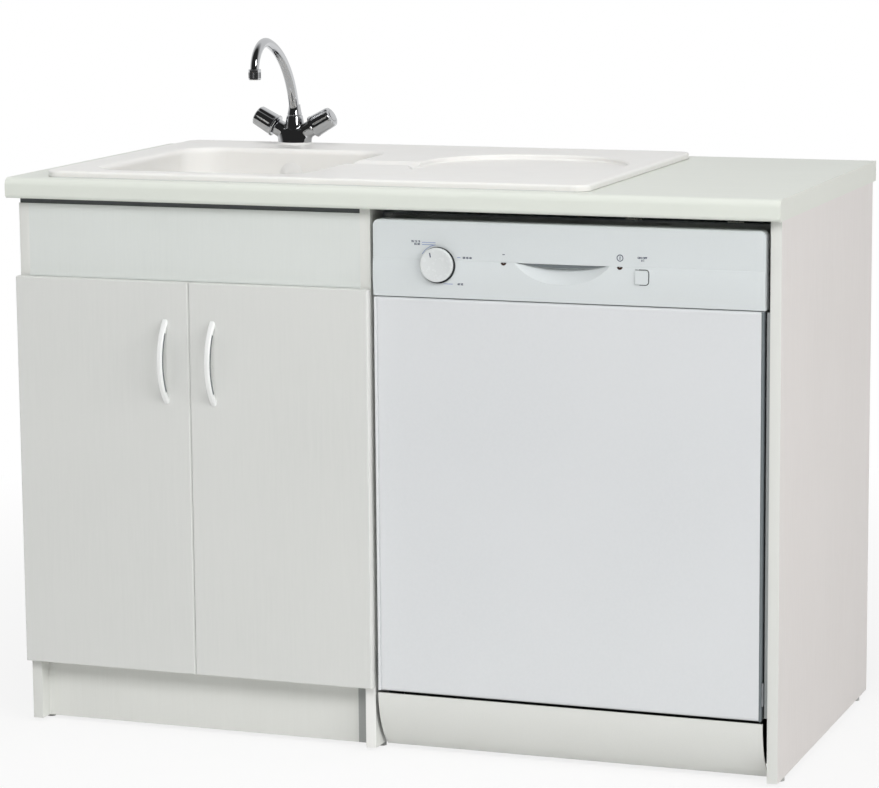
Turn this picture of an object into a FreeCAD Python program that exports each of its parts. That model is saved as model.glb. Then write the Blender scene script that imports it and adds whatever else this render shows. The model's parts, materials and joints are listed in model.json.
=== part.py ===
import FreeCAD, Part
import os
import re
import Sketcher
from FreeCAD import Placement, Rotation, Vector

# A kitchen base unit: a two-door sink cabinet and a dishwasher under one worktop.
# Millimetres, +Z up from the floor, front toward -Y, centred on the middle of its footprint.

SIZES = {
    # worktop
    "worktop_length": 1200,
    "worktop_depth": 600,
    "worktop_thickness": 31,
    "worktop_height": 850,
    "worktop_front_overhang": 26,
    "worktop_left_overhang": 10,
    "worktop_right_overhang": 4,
    "worktop_top_round": 11,
    "worktop_bottom_round": 6,
    "end_strip": 1,
    # carcass boards
    "board": 16,
    "side_depth": 570,
    "bay_width": 600,
    "glide_height": 7,
    "glide_radius": 7,
    "glide_inset": 45,
    "plinth_height": 93,
    "plinth_setback": 24,
    "fascia_height": 119,
    "fascia_lap": 14,
    "seal_height": 9,
    "seal_inset": 1.5,
    "rail_height": 100,
    "hose_notch_radius": 30,
    "hose_notch_rise": 140,
    "hose_notch_inset": 12,
    "bracket_leg": 25,
    "bracket_width": 20,
    "bracket_thick": 2,
    "bracket_inset": 90,
    # doors
    "door_thickness": 16,
    "door_standoff": 2.5,
    "door_spacing": 2,
    "door_floor_lap": 14,
    "door_edge_round": 1.5,
    "buffer_radius": 5,
    "buffer_clear": 0.3,
    # bow handles
    "handle_length": 128,
    "handle_foot": 12,
    "handle_projection": 25,
    "handle_finger_gap": 16.5,
    "handle_width": 9.5,
    "handle_round": 3,
    "handle_inset": 37.5,
    "handle_drop": 56,
    "handle_screw_radius": 2.2,
    # cup hinges
    "hinge_end_distance": 90,
    "hinge_edge": 3,
    "hinge_pivot_in": 7,
    "hinge_pivot_depth": 10,
    "cup_radius": 17.5,
    "cup_wall": 1,
    "cup_depth": 12.5,
    "cup_flange": 1,
    "cup_flange_length": 52,
    "cup_flange_width": 14,
    "hinge_arm_width": 8,
    "hinge_arm_thick": 2.5,
    "hinge_plate_thick": 2.7,
    "hinge_plate_length": 40,
    "hinge_plate_width": 18,
    "hinge_plate_inset": 20,
    "hinge_eye_radius": 2,
    "hinge_pin_radius": 1,
    "hinge_pin_length": 20,
    "hinge_pin_clear": 0.08,
    # sink
    "sink_left_inset": 52,
    "sink_right_inset": 288,
    "sink_front_inset": 25,
    "sink_back_inset": 25,
    "sink_corner": 24,
    "rim_height": 10,
    "rim_round": 4,
    "rim_under_round": 2,
    "rim_lap": 18,
    "cutout_clear": 2,
    "sink_skirt": 10,
    "bowl_left": 58,
    "bowl_front": 42,
    "bowl_back": 123,
    "bowl_divider_gap": 114,
    "bowl_depth": 167,
    "bowl_corner": 55,
    "bowl_wall": 7,
    "bowl_floor_round": 28,
    "bowl_edge_round": 9,
    "drainer_gap": 109,
    "drainer_right": 36,
    "drainer_front": 108,
    "drainer_back": 113,
    "drainer_sink": 8,
    "drainer_corner": 140,
    "drainer_floor_round": 3.5,
    "channel_radius": 70,
    "channel_depth": 7,
    "channel_from_back": 304,
    # waste
    "waste_hole": 44,
    "waste_flange_radius": 56,
    "waste_flange_thick": 2,
    "waste_body_drop": 46,
    "waste_wall": 3,
    "waste_clear": 0.4,
    "basket_drop": 30,
    "basket_clear": 0.5,
    "basket_wall": 1.5,
    "basket_knob_root": 4.5,
    "basket_knob_tip": 3,
    "sieve_hole": 3,
    "trap_radius": 32,
    "trap_drop": 110,
    "trap_neck": 20,
    "trap_neck_drop": 20,
    "trap_shoulder": 30,
    "trap_round": 6,
    "waste_pipe_radius": 20,
    "waste_pipe_rise": 75,
    "overflow_radius": 20,
    "overflow_bore": 12,
    "overflow_drop": 42,
    "overflow_thick": 3,
    # tap
    "tap_from_left": 197,
    "tap_from_back": 32,
    "tap_base_across": 27,
    "tap_base_deep": 23,
    "tap_mid_across": 32,
    "tap_mid_deep": 20,
    "tap_mid_height": 14,
    "tap_wing_across": 33,
    "tap_wing_deep": 15,
    "tap_wing_height": 25,
    "tap_neck_radius": 16,
    "tap_neck_shoulder": 34,
    "tap_top_radius": 13,
    "tap_body_height": 47,
    "tap_shank_radius": 10,
    "tap_shank_drop": 45,
    "tap_nut_radius": 14,
    "tap_nut_height": 9,
    "tap_arm_rise": 10,
    "tap_arm_tilt": 29,
    "tap_arm_start": 8,
    "tap_arm_length": 37,
    "tap_arm_root": 14,
    "tap_arm_end": 13.5,
    "tap_stem_radius": 6,
    "tap_stem_length": 14,
    "tap_clear": 0.08,
    "tap_gap": 0.4,
    "tap_flange_radius": 17.5,
    "tap_flange_thick": 3.5,
    "tap_handle_radius": 16.5,
    "tap_handle_tip": 15,
    "tap_handle_length": 38,
    "tap_handle_round": 3,
    "tap_cap_radius": 10,
    "tap_cap_bevel": 1,
    "tap_flute_radius": 4,
    "tap_flute_depth": 0.8,
    "spout_radius": 7.5,
    "spout_bore": 5.5,
    "spout_lean": 8,
    "spout_root": 2,
    "spout_crest": 72,
    "spout_sweep": 148,
    "spout_hook": 40,
    "spout_collar_radius": 12,
    "spout_collar_height": 16,
    "aerator_radius": 10,
    "aerator_height": 17,
    "aerator_wall": 1.5,
    # dishwasher housing
    "dw_front": 4,
    "dw_side_gap": 4,
    "dw_top_gap": 11,
    "dw_back_gap": 25,
    "dw_sheet": 1.5,
    "strap_thick": 2,
    "strap_leg": 20,
    "strap_width": 24,
    "strap_inset": 150,
    "dw_floor": 20,
    "dw_tray_wall": 3,
    "dw_tray_front": 60,
    "dw_tray_side": 20,
    "dw_foot_radius": 14,
    "dw_foot_pad": 6,
    "dw_foot_stem": 5,
    "dw_foot_inset": 50,
    "dw_tub_side": 20,
    "dw_tub_floor": 160,
    "dw_tub_top_gap": 10,
    "dw_tub_back_gap": 22,
    "dw_tub_wall": 1.2,
    "dw_tub_corner": 25,
    "dw_flange": 2,
    "dw_seal_width": 12,
    "dw_seal_gap": 0.3,
    # dishwasher door
    "dw_door_gap": 8.5,
    "dw_door_bottom": 97.5,
    "dw_skin": 1.5,
    "dw_pan_depth": 20,
    "dw_pan_round": 5,
    "dw_liner_depth": 24,
    "dw_liner_side": 8,
    "dw_liner_rise": 20,
    "dw_liner_round": 8,
    "dw_seal_space": 4,
    "dw_pivot_in": 6,
    "dw_pivot_rise": 40,
    "dw_pin_radius": 3,
    "dw_pin_clear": 0.08,
    "dw_pin_length": 6,
    "dw_bracket_thick": 2,
    "dw_bracket_height": 34,
    "dw_bracket_length": 96,
    "dw_kick_gap": 3.5,
    "dw_kick_recess": 38,
    "dw_kick_wall": 3,
    "dw_kick_rib_inset": 90,
    "dw_kick_rib_low": 20,
    "dw_kick_rib_high": 64,
    # dishwasher controls
    "dw_front_gap": 6,
    "panel_height": 112,
    "panel_drop": 16,
    "panel_seam": 1.5,
    "panel_depth": 20,
    "panel_crease": 55,
    "panel_step": 0.8,
    "panel_belly": 150,
    "panel_top_round": 4,
    "panel_corner": 9,
    "scoop_left": 217,
    "scoop_width": 143.5,
    "scoop_height": 27.5,
    "scoop_depth": 17.5,
    "knob_across": 101,
    "knob_below_crease": 6,
    "knob_radius": 26.2,
    "knob_height": 7,
    "knob_under": 0.8,
    "knob_round": 1.5,
    "knob_shaft": 4,
    "knob_shaft_length": 20,
    "knob_clear": 0.08,
    "knob_stand": 5,
    "knob_mark_width": 2,
    "knob_mark_length": 8,
    "knob_mark_inset": 4.2,
    "knob_mark_turn": 28,
    "knob_mark_depth": 0.8,
    "lamp_radius": 3.5,
    "lamp_depth": 8,
    "lamp_left_across": 201,
    "lamp_right_across": 375.5,
    "button_across": 408.5,
    "button_below_crease": 14,
    "button_width": 19,
    "button_height": 20,
    "button_corner": 4,
    "button_proud": 3,
    "button_depth": 10,
    "button_travel": 3,
    "button_clear": 0.9,
    # detergent drawer on the door liner
    "soap_across": 150,
    "soap_rise": 262,
    "soap_width": 110,
    "soap_height": 74,
    "soap_depth": 16,
    "soap_wall": 2,
    "soap_lid": 3,
    "soap_lug": 4,
    "soap_pin_radius": 1.6,
    "soap_pin_clear": 0.08,
    "soap_lid_clear": 0.32,
    "soap_pull_width": 24,
    "soap_pull_height": 6,
    "soap_pull_drop": 9,
    "soap_barrel": 3,
    # racks and spray arms
    "rack_side_gap": 33,
    "rack_front_gap": 32,
    "rack_back_gap": 48,
    "rack_wire": 4,
    "rack_pitch": 56,
    "lower_rack_rise": 48,
    "lower_rack_height": 120,
    "upper_rack_drop": 300,
    "upper_rack_height": 95,
    "roller_radius": 13,
    "roller_width": 10,
    "roller_axle": 3,
    "roller_inset": 90,
    "rack_rail": 3,
    "cutlery_width": 220,
    "cutlery_length": 90,
    "cutlery_height": 100,
    "cutlery_wall": 3,
    "cutlery_inset": 20,
    "arm_sweep_gap": 6,
    "arm_root_width": 46,
    "arm_tip_width": 28,
    "arm_tip_round": 8,
    "arm_thick": 10,
    "arm_hub_radius": 20,
    "arm_hub_height": 6,
    "arm_jet_radius": 2.5,
    "arm_jet_pitch": 42,
    "arm_bore_clear": 0.08,
    "post_radius": 10,
    "post_shoulder": 15,
    "post_shoulder_rise": 10,
    "arm_gap": 0.4,
    "feed_radius": 10,
    "feed_gap": 4,
    "feed_drop": 30,
    "sump_radius": 70,
    "sump_wall": 4,
    "sump_depth": 58,
    "sump_lip": 12,
    "sump_lip_thick": 2,
    "sump_clear": 0.4,
    "pump_radius": 28,
    "pump_length": 140,
    "pump_drop": 36,
}

doc = FreeCAD.newDocument("SinkUnit")
sheet = doc.addObject("Spreadsheet::Sheet", "Dims")
for row, (alias, value) in enumerate(SIZES.items(), 1):
    sheet.set(f"A{row}", alias)
    sheet.set(f"B{row}", str(value))
    sheet.setAlias(f"B{row}", alias)
doc.recompute()

# The common planes of the unit, as expressions of the driving sizes
LEFT = "(-worktop_length / 2 + worktop_left_overhang)"
RIGHT = "(worktop_length / 2 - worktop_right_overhang)"
BAY_RIGHT = f"({RIGHT} - board)"
BAY_LEFT = f"({BAY_RIGHT} - bay_width)"
BAY_MID = f"({BAY_LEFT} + bay_width / 2)"
DIVIDER = f"({BAY_LEFT} - board)"
FRONT = "((door_standoff + door_thickness + handle_projection + worktop_front_overhang - worktop_depth) / 2)"
BACK = f"({FRONT} + side_depth)"
TOP_FRONT = f"({FRONT} - worktop_front_overhang)"
CARCASS_TOP = "(worktop_height - worktop_thickness)"
FLOOR_UNDER = "(glide_height + plinth_height)"
FLOOR_TOP = f"({FLOOR_UNDER} + board)"
CABINET_INSIDE = f"({DIVIDER} - {LEFT} - board)"
DOOR_BACK = f"({FRONT} - door_standoff)"
DOOR_FRONT = f"({DOOR_BACK} - door_thickness)"
DOOR_BOTTOM = f"({FLOOR_TOP} - door_floor_lap)"
DOOR_TOP = f"({CARCASS_TOP} - fascia_height)"
DOOR_HEIGHT = f"({DOOR_TOP} - {DOOR_BOTTOM})"
DOOR_WIDTH = f"(({BAY_LEFT} - {LEFT} - door_spacing) / 2)"
SINK_LEFT = "(-worktop_length / 2 + sink_left_inset)"
SINK_LENGTH = "(worktop_length - sink_left_inset - sink_right_inset)"
SINK_DEPTH = "(worktop_depth - sink_front_inset - sink_back_inset)"
BOWL_WIDTH = f"({DIVIDER} - bowl_divider_gap - {SINK_LEFT} - bowl_left)"
BOWL_LENGTH = f"({SINK_DEPTH} - bowl_front - bowl_back)"
SINK_FRONT = f"({TOP_FRONT} + sink_front_inset)"
RIM_TOP = "(worktop_height + rim_height)"
BOWL_FLOOR = f"({RIM_TOP} - bowl_depth)"
WASTE_X = f"({SINK_LEFT} + bowl_left + {BOWL_WIDTH} / 2)"
WASTE_Y = f"({SINK_FRONT} + bowl_front + {BOWL_LENGTH} / 2)"
TAP_X = f"({SINK_LEFT} + tap_from_left)"
TAP_Y = f"({SINK_FRONT} + {SINK_DEPTH} - tap_from_back)"
DW_FRONT = f"({FRONT} - dw_front)"
DW_HALF = "(bay_width / 2 - dw_side_gap)"
DW_BACK = f"({BACK} - dw_back_gap)"
DW_TOP = f"({CARCASS_TOP} - dw_top_gap)"
LINER_BACK = f"({DW_FRONT} + dw_pan_depth + dw_liner_depth)"
TUB_FRONT = f"({LINER_BACK} + dw_seal_space)"
TUB_HALF = f"({DW_HALF} - dw_tub_side)"
TUB_BACK = f"({DW_BACK} - dw_tub_back_gap)"
TUB_TOP = f"({DW_TOP} - dw_tub_top_gap)"
TUB_MID = f"(({TUB_FRONT} + {TUB_BACK}) / 2)"
TUB_UNDER = "(dw_tub_floor - dw_tub_wall)"
PIVOT_Y = f"({DW_FRONT} + dw_pivot_in)"
PIVOT_Z = "(dw_door_bottom + dw_pivot_rise)"
DW_DOOR_WIDTH = "(bay_width - 2 * dw_door_gap)"
PANEL_WIDTH = "(bay_width - 2 * dw_front_gap)"
PANEL_LEFT = f"({BAY_MID} - {PANEL_WIDTH} / 2)"
PANEL_TOP = f"({CARCASS_TOP} - panel_drop)"
PANEL_BOTTOM = f"({PANEL_TOP} - panel_height)"
CREASE = f"({PANEL_BOTTOM} + panel_crease)"
LOWER_RACK = "(dw_tub_floor + lower_rack_rise)"
UPPER_RACK = f"({TUB_TOP} - upper_rack_drop)"

# Turns that lay a piece's own Z along another direction
TURNS = {
    "z": Rotation(),
    "x": Rotation(Vector(0, 1, 0), 90),
    "y": Rotation(Vector(1, 0, 0), -90),
    "front": Rotation(Vector(1, 0, 0), 90),
}

nodes = []


def live(expression):
    """Point every size named in an expression at its cell."""
    return re.sub(r"[a-z][a-z_0-9]*", lambda m: f"Dims.{m[0]}" if m[0] in SIZES else m[0], expression)


def number(expression):
    """Value of an expression for the sizes now in the sheet."""
    value = sheet.evalExpression(live(expression))
    return float(getattr(value, "Value", value))


def keep(piece):
    """Hand a finished sub-part on; its label names its file."""
    nodes.append(piece)
    return piece


def place(piece, x, y, z, turn="z"):
    """Put a piece at a point given by three expressions."""
    piece.Placement = Placement(Vector(), TURNS[turn])
    for axis, expression in zip("xyz", (x, y, z)):
        piece.setExpression(f"Placement.Base.{axis}", live(expression))
    return piece


def box(name, x, y, z, length, width, height):
    """Rectangular block from its low corner."""
    piece = doc.addObject("Part::Box", name)
    for side, expression in (("Length", length), ("Width", width), ("Height", height)):
        piece.setExpression(side, live(expression))
    return place(piece, x, y, z)


def rod(name, radius, length, x, y, z, turn="z"):
    """Round rod from the centre of its first end, along the given direction."""
    piece = doc.addObject("Part::Cylinder", name)
    piece.setExpression("Radius", live(radius))
    piece.setExpression("Height", live(length))
    return place(piece, x, y, z, turn)


def group(name, pieces):
    """Separate solids that share one node."""
    piece = doc.addObject("Part::Compound", name)
    piece.Links = list(pieces)
    return piece


def fuse(name, pieces):
    """One solid from overlapping pieces."""
    piece = doc.addObject("Part::MultiFuse", name)
    piece.Shapes = list(pieces)
    return piece


def cut(name, base, tools):
    """A piece less separate cutting solids."""
    piece = doc.addObject("Part::Cut", name)
    piece.Base = base
    piece.Tool = tools[0] if len(tools) == 1 else group(f"{name}_cutters", tools)
    return piece


def body(name, x, y, z, turn="z"):
    """Empty body for sketched features."""
    return place(doc.addObject("PartDesign::Body", name), x, y, z, turn)


def sketch(owner, plane, offset="0"):
    """Sketch on one of a body's own planes, moved along that plane's normal."""
    drawing = owner.newObject("Sketcher::SketchObject", f"{owner.Name}_sketch")
    support = next(part for part in owner.Origin.OriginFeatures if part.Role == f"{plane}_Plane")
    drawing.AttachmentSupport = [(support, "")]
    drawing.MapMode = "FlatFace"
    drawing.setExpression("AttachmentOffset.Base.z", live(offset))
    return drawing


def pin_point(drawing, geometry, position, x, y):
    """Tie a sketch point to a place measured from the sketch origin."""
    for kind, expression in (("DistanceX", x), ("DistanceY", y)):
        rule = Sketcher.Constraint(kind, -1, 1, geometry, position, number(expression))
        drawing.setExpression(f"Constraints[{drawing.addConstraint(rule)}]", live(expression))


def pin_radius(drawing, geometry, radius):
    """Tie an arc or a circle to its radius."""
    rule = Sketcher.Constraint("Radius", geometry, number(radius))
    drawing.setExpression(f"Constraints[{drawing.addConstraint(rule)}]", live(radius))


def outline(drawing, points, closed=True):
    """Chain of lines and arcs through points.

    A point is (x, y), or (x, y, side, radius) where the edge to the next point is an arc: side is
    "left" for an arc that turns left on its way and "right" for one that turns right.
    """
    first = drawing.GeometryCount
    corners = [Vector(number(point[0]), number(point[1]), 0) for point in points]
    edges = len(points) if closed else len(points) - 1
    ends = []
    for index in range(edges):
        start = corners[index]
        end = corners[(index + 1) % len(points)]
        if len(points[index]) == 2:
            drawing.addGeometry(Part.LineSegment(start, end))
            ends.append((1, 2))
            continue
        side, radius = points[index][2], number(points[index][3])
        chord = end - start
        sign = 1 if side == "left" else -1
        across = Vector(-chord.y, chord.x, 0).normalize() * sign
        rise = max(radius ** 2 - (chord.Length / 2) ** 2, 0) ** 0.5
        crown = (start + end) * 0.5 + across * (rise - radius)
        drawing.addGeometry(Part.Arc(start, crown, end))
        ends.append((1, 2) if side == "left" else (2, 1))
    for index in range(edges if closed else edges - 1):
        following = (index + 1) % edges
        rule = Sketcher.Constraint(
            "Coincident", first + index, ends[index][1], first + following, ends[following][0])
        drawing.addConstraint(rule)
    for index in range(edges):
        pin_point(drawing, first + index, ends[index][0], points[index][0], points[index][1])
        if len(points[index]) > 2:
            pin_radius(drawing, first + index, points[index][3])
    if not closed:
        pin_point(drawing, first + edges - 1, ends[-1][1], points[-1][0], points[-1][1])


def ring(drawing, x, y, radius):
    """Circle in a sketch."""
    geometry = drawing.addGeometry(Part.Circle(Vector(number(x), number(y), 0), Vector(0, 0, 1), number(radius)))
    pin_point(drawing, geometry, 3, x, y)
    pin_radius(drawing, geometry, radius)


def rectangle(x0, y0, x1, y1):
    """Corner points of a rectangle."""
    return [(x0, y0), (x1, y0), (x1, y1), (x0, y1)]


def rounded(x0, y0, x1, y1, radius):
    """Points of a rectangle with four round corners."""
    return [
        (f"{x0} + {radius}", y0),
        (f"{x1} - {radius}", y0, "left", radius),
        (x1, f"{y0} + {radius}"),
        (x1, f"{y1} - {radius}", "left", radius),
        (f"{x1} - {radius}", y1),
        (f"{x0} + {radius}", y1, "left", radius),
        (x0, f"{y1} - {radius}"),
        (x0, f"{y0} + {radius}", "left", radius),
    ]


def extrude(owner, kind, drawing, length, flip=False):
    """Pad or pocket of a sketch, along its normal or against it."""
    made = owner.newObject(f"PartDesign::{kind}", f"{owner.Name}_{kind.lower()}")
    made.Profile = drawing
    made.Reversed = flip
    made.setExpression("Length", live(length))
    return made


def revolve(owner, points):
    """Solid of revolution about the body's Z axis from (radius, height) points."""
    drawing = sketch(owner, "XZ")
    outline(drawing, points)
    made = owner.newObject("PartDesign::Revolution", f"{owner.Name}_revolution")
    made.Profile = drawing
    made.ReferenceAxis = (drawing, ["V_Axis"])
    made.Angle = 360
    return made


def round_edges(owner, radius, wanted):
    """Fillet the edges of the body's present solid that pass a test."""
    doc.recompute()
    base = owner.Tip
    names = [f"Edge{place_in}" for place_in, edge in enumerate(base.Shape.Edges, 1) if wanted(edge)]
    made = owner.newObject("PartDesign::Fillet", f"{owner.Name}_fillet")
    made.Base = (base, names)
    made.setExpression("Radius", live(radius))
    return made


def lies_at(edge, axis, value):
    """True for an edge that lies wholly at one coordinate."""
    low = getattr(edge.BoundBox, f"{axis}Min")
    high = getattr(edge.BoundBox, f"{axis}Max")
    return abs(low - value) < 0.01 and abs(high - value) < 0.01


# Worktop: a postformed board with a rounded front edge and the sink's cut-out


def worktop_section(owner, length):
    """Board section with its rounded front edge, carried along X."""
    drawing = sketch(owner, "YZ")
    outline(drawing, [
        ("worktop_bottom_round", "0"),
        ("worktop_depth", "0"),
        ("worktop_depth", "worktop_thickness"),
        ("worktop_top_round", "worktop_thickness", "left", "worktop_top_round"),
        ("0", "worktop_thickness - worktop_top_round"),
        ("0", "worktop_bottom_round", "left", "worktop_bottom_round"),
    ])
    return extrude(owner, "Pad", drawing, length)


worktop = body("worktop", "-worktop_length / 2 + end_strip", TOP_FRONT, CARCASS_TOP)
worktop_section(worktop, "worktop_length - 2 * end_strip")
hole = sketch(worktop, "XY")
outline(hole, rounded(
    "(sink_left_inset - end_strip + rim_lap - cutout_clear)",
    "(sink_front_inset + rim_lap - cutout_clear)",
    f"(sink_left_inset - end_strip + {SINK_LENGTH} - rim_lap + cutout_clear)",
    f"(sink_front_inset + {SINK_DEPTH} - rim_lap + cutout_clear)",
    "sink_corner"))
extrude(worktop, "Pocket", hole, "worktop_thickness", flip=True)
keep(worktop)

strips = []
for strip_x in ("-worktop_length / 2", "worktop_length / 2 - end_strip"):
    strip = body("end_strip_piece", strip_x, TOP_FRONT, CARCASS_TOP)
    worktop_section(strip, "end_strip")
    strips.append(strip)
keep(group("worktop_end_strips", strips))

# Carcass boards

SIDE_HEIGHT = f"({CARCASS_TOP} - glide_height)"
keep(box("left_side_panel", LEFT, FRONT, "glide_height", "board", "side_depth",
         f"{SIDE_HEIGHT} - seal_height"))
keep(box("right_end_panel", BAY_RIGHT, FRONT, "glide_height", "board", "side_depth", SIDE_HEIGHT))
divider_board = box("divider_board", DIVIDER, FRONT, "glide_height", "board", "side_depth", SIDE_HEIGHT)
hose_notch = rod("hose_notch", "hose_notch_radius", "board", DIVIDER, f"{BACK} - hose_notch_inset",
                 f"{FLOOR_TOP} + hose_notch_rise", "x")
keep(cut("divider_panel", divider_board, [hose_notch]))
INSIDE_LEFT = f"({LEFT} + board)"
keep(box("floor_panel", INSIDE_LEFT, FRONT, FLOOR_UNDER, CABINET_INSIDE, "side_depth", "board"))
keep(box("fascia_rail", INSIDE_LEFT, FRONT, f"{DOOR_TOP} - fascia_lap", CABINET_INSIDE, "board",
         "fascia_height + fascia_lap - seal_height"))
SEAL_FRONT = f"({FRONT} + seal_inset)"
side_seal = box("side_seal", f"{LEFT} + seal_inset", SEAL_FRONT, f"{CARCASS_TOP} - seal_height",
                "board - seal_inset", "side_depth - seal_inset", "seal_height")
front_seal = box("front_seal", INSIDE_LEFT, SEAL_FRONT, f"{CARCASS_TOP} - seal_height", CABINET_INSIDE,
                 "board - seal_inset", "seal_height")
keep(fuse("worktop_seal", [side_seal, front_seal]))
keep(box("plinth_board", INSIDE_LEFT, f"{FRONT} + plinth_setback", "glide_height", CABINET_INSIDE, "board",
         "plinth_height"))
rails = []
for rail_x, rail_z, rail_length in (
        (INSIDE_LEFT, f"{CARCASS_TOP} - rail_height", CABINET_INSIDE),
        (INSIDE_LEFT, FLOOR_TOP, CABINET_INSIDE),
        (BAY_LEFT, f"{CARCASS_TOP} - rail_height", "bay_width")):
    rails.append(box("back_rail", rail_x, f"{BACK} - board", rail_z, rail_length, "board", "rail_height"))
keep(group("back_rails", rails))

glides = []
for panel_x in (LEFT, DIVIDER, BAY_RIGHT):
    for glide_y in (f"{FRONT} + glide_inset", f"{BACK} - glide_inset"):
        glides.append(rod("glide", "glide_radius", "glide_height", f"{panel_x} + board / 2", glide_y, "0"))
keep(group("panel_glides", glides))

brackets = []
for bracket_y in (f"{FRONT} + bracket_inset", f"{BACK} - bracket_inset - bracket_width"):
    upright = box("bracket_upright", INSIDE_LEFT, bracket_y, f"{CARCASS_TOP} - bracket_leg",
                  "bracket_thick", "bracket_width", "bracket_leg")
    ledge = box("bracket_ledge", INSIDE_LEFT, bracket_y, f"{CARCASS_TOP} - bracket_thick",
                "bracket_leg", "bracket_width", "bracket_thick")
    brackets.append(fuse("bracket", [upright, ledge]))
for bracket_x in (f"{INSIDE_LEFT} + bracket_inset", f"{DIVIDER} - bracket_inset - bracket_width"):
    upright = box("bracket_upright", bracket_x, f"{BACK} - board - bracket_thick", f"{CARCASS_TOP} - bracket_leg",
                  "bracket_width", "bracket_thick", "bracket_leg")
    ledge = box("bracket_ledge", bracket_x, f"{BACK} - board - bracket_leg", f"{CARCASS_TOP} - bracket_thick",
                "bracket_width", "bracket_leg", "bracket_thick")
    brackets.append(fuse("bracket", [upright, ledge]))
keep(group("worktop_brackets", brackets))

# Doors, bow handles and cup hinges; the right-hand set is the mirror of the left-hand one

HINGE_LEVELS = (f"({DOOR_BOTTOM} + hinge_end_distance)", f"({DOOR_TOP} - hinge_end_distance)")
PIVOT_PLANE = f"({DOOR_BACK} - hinge_pivot_depth)"
HANDLE_TOP = f"({DOOR_TOP} - handle_drop)"


def inward(edge, side, start, length):
    """Low X of a span that starts a distance in from a door's hinge edge."""
    return f"{edge} + {start}" if side == "left" else f"{edge} - {start} - {length}"


def make_door(side, edge):
    """Door leaf with its hinge cup recesses and handle screw holes."""
    leaf = body(f"{side}_door", inward(edge, side, "0", DOOR_WIDTH), DOOR_BACK, DOOR_BOTTOM)
    face = sketch(leaf, "XZ")
    outline(face, rectangle("0", "0", DOOR_WIDTH, DOOR_HEIGHT))
    extrude(leaf, "Pad", face, "door_thickness")
    front_y = -number("door_thickness")
    round_edges(leaf, "door_edge_round", lambda edge_line: lies_at(edge_line, "Y", front_y))
    recesses = sketch(leaf, "XZ")
    cup_in = "(hinge_edge + cup_radius)"
    cup_x = cup_in if side == "left" else f"{DOOR_WIDTH} - {cup_in}"
    for level in HINGE_LEVELS:
        ring(recesses, cup_x, f"{level} - {DOOR_BOTTOM}", "cup_radius")
    extrude(leaf, "Pocket", recesses, "cup_depth + cup_wall", flip=True)
    screws = sketch(leaf, "XZ")
    screw_x = f"{DOOR_WIDTH} - handle_inset" if side == "left" else "handle_inset"
    for screw_z in (f"{HANDLE_TOP} - handle_foot / 2", f"{HANDLE_TOP} - handle_length + handle_foot / 2"):
        ring(screws, screw_x, f"{screw_z} - {DOOR_BOTTOM}", "handle_screw_radius")
    extrude(leaf, "Pocket", screws, "door_thickness", flip=True)
    keep(leaf)


def make_handle(side, edge):
    """Bow handle: a crescent between two arcs that stands on two flat feet."""
    middle = f"({DOOR_WIDTH} - handle_inset + handle_width / 2)"
    bow = body(f"{side}_handle", inward(edge, side, f"({middle} - handle_width)", "handle_width"), DOOR_FRONT,
               f"{HANDLE_TOP} - handle_length / 2")
    inner = "(handle_length / 2 - handle_foot)"
    crescent = sketch(bow, "YZ")
    outline(crescent, [
        ("0", "handle_length / 2", "left",
         "((handle_length / 2)^2 + handle_projection^2) / (2 * handle_projection)"),
        ("0", "-handle_length / 2"),
        ("0", f"-{inner}", "right", f"({inner}^2 + handle_finger_gap^2) / (2 * handle_finger_gap)"),
        ("0", inner),
    ])
    extrude(bow, "Pad", crescent, "handle_width")
    round_edges(bow, "handle_round", lambda edge_line: edge_line.BoundBox.YLength > 1)
    keep(bow)


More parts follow.
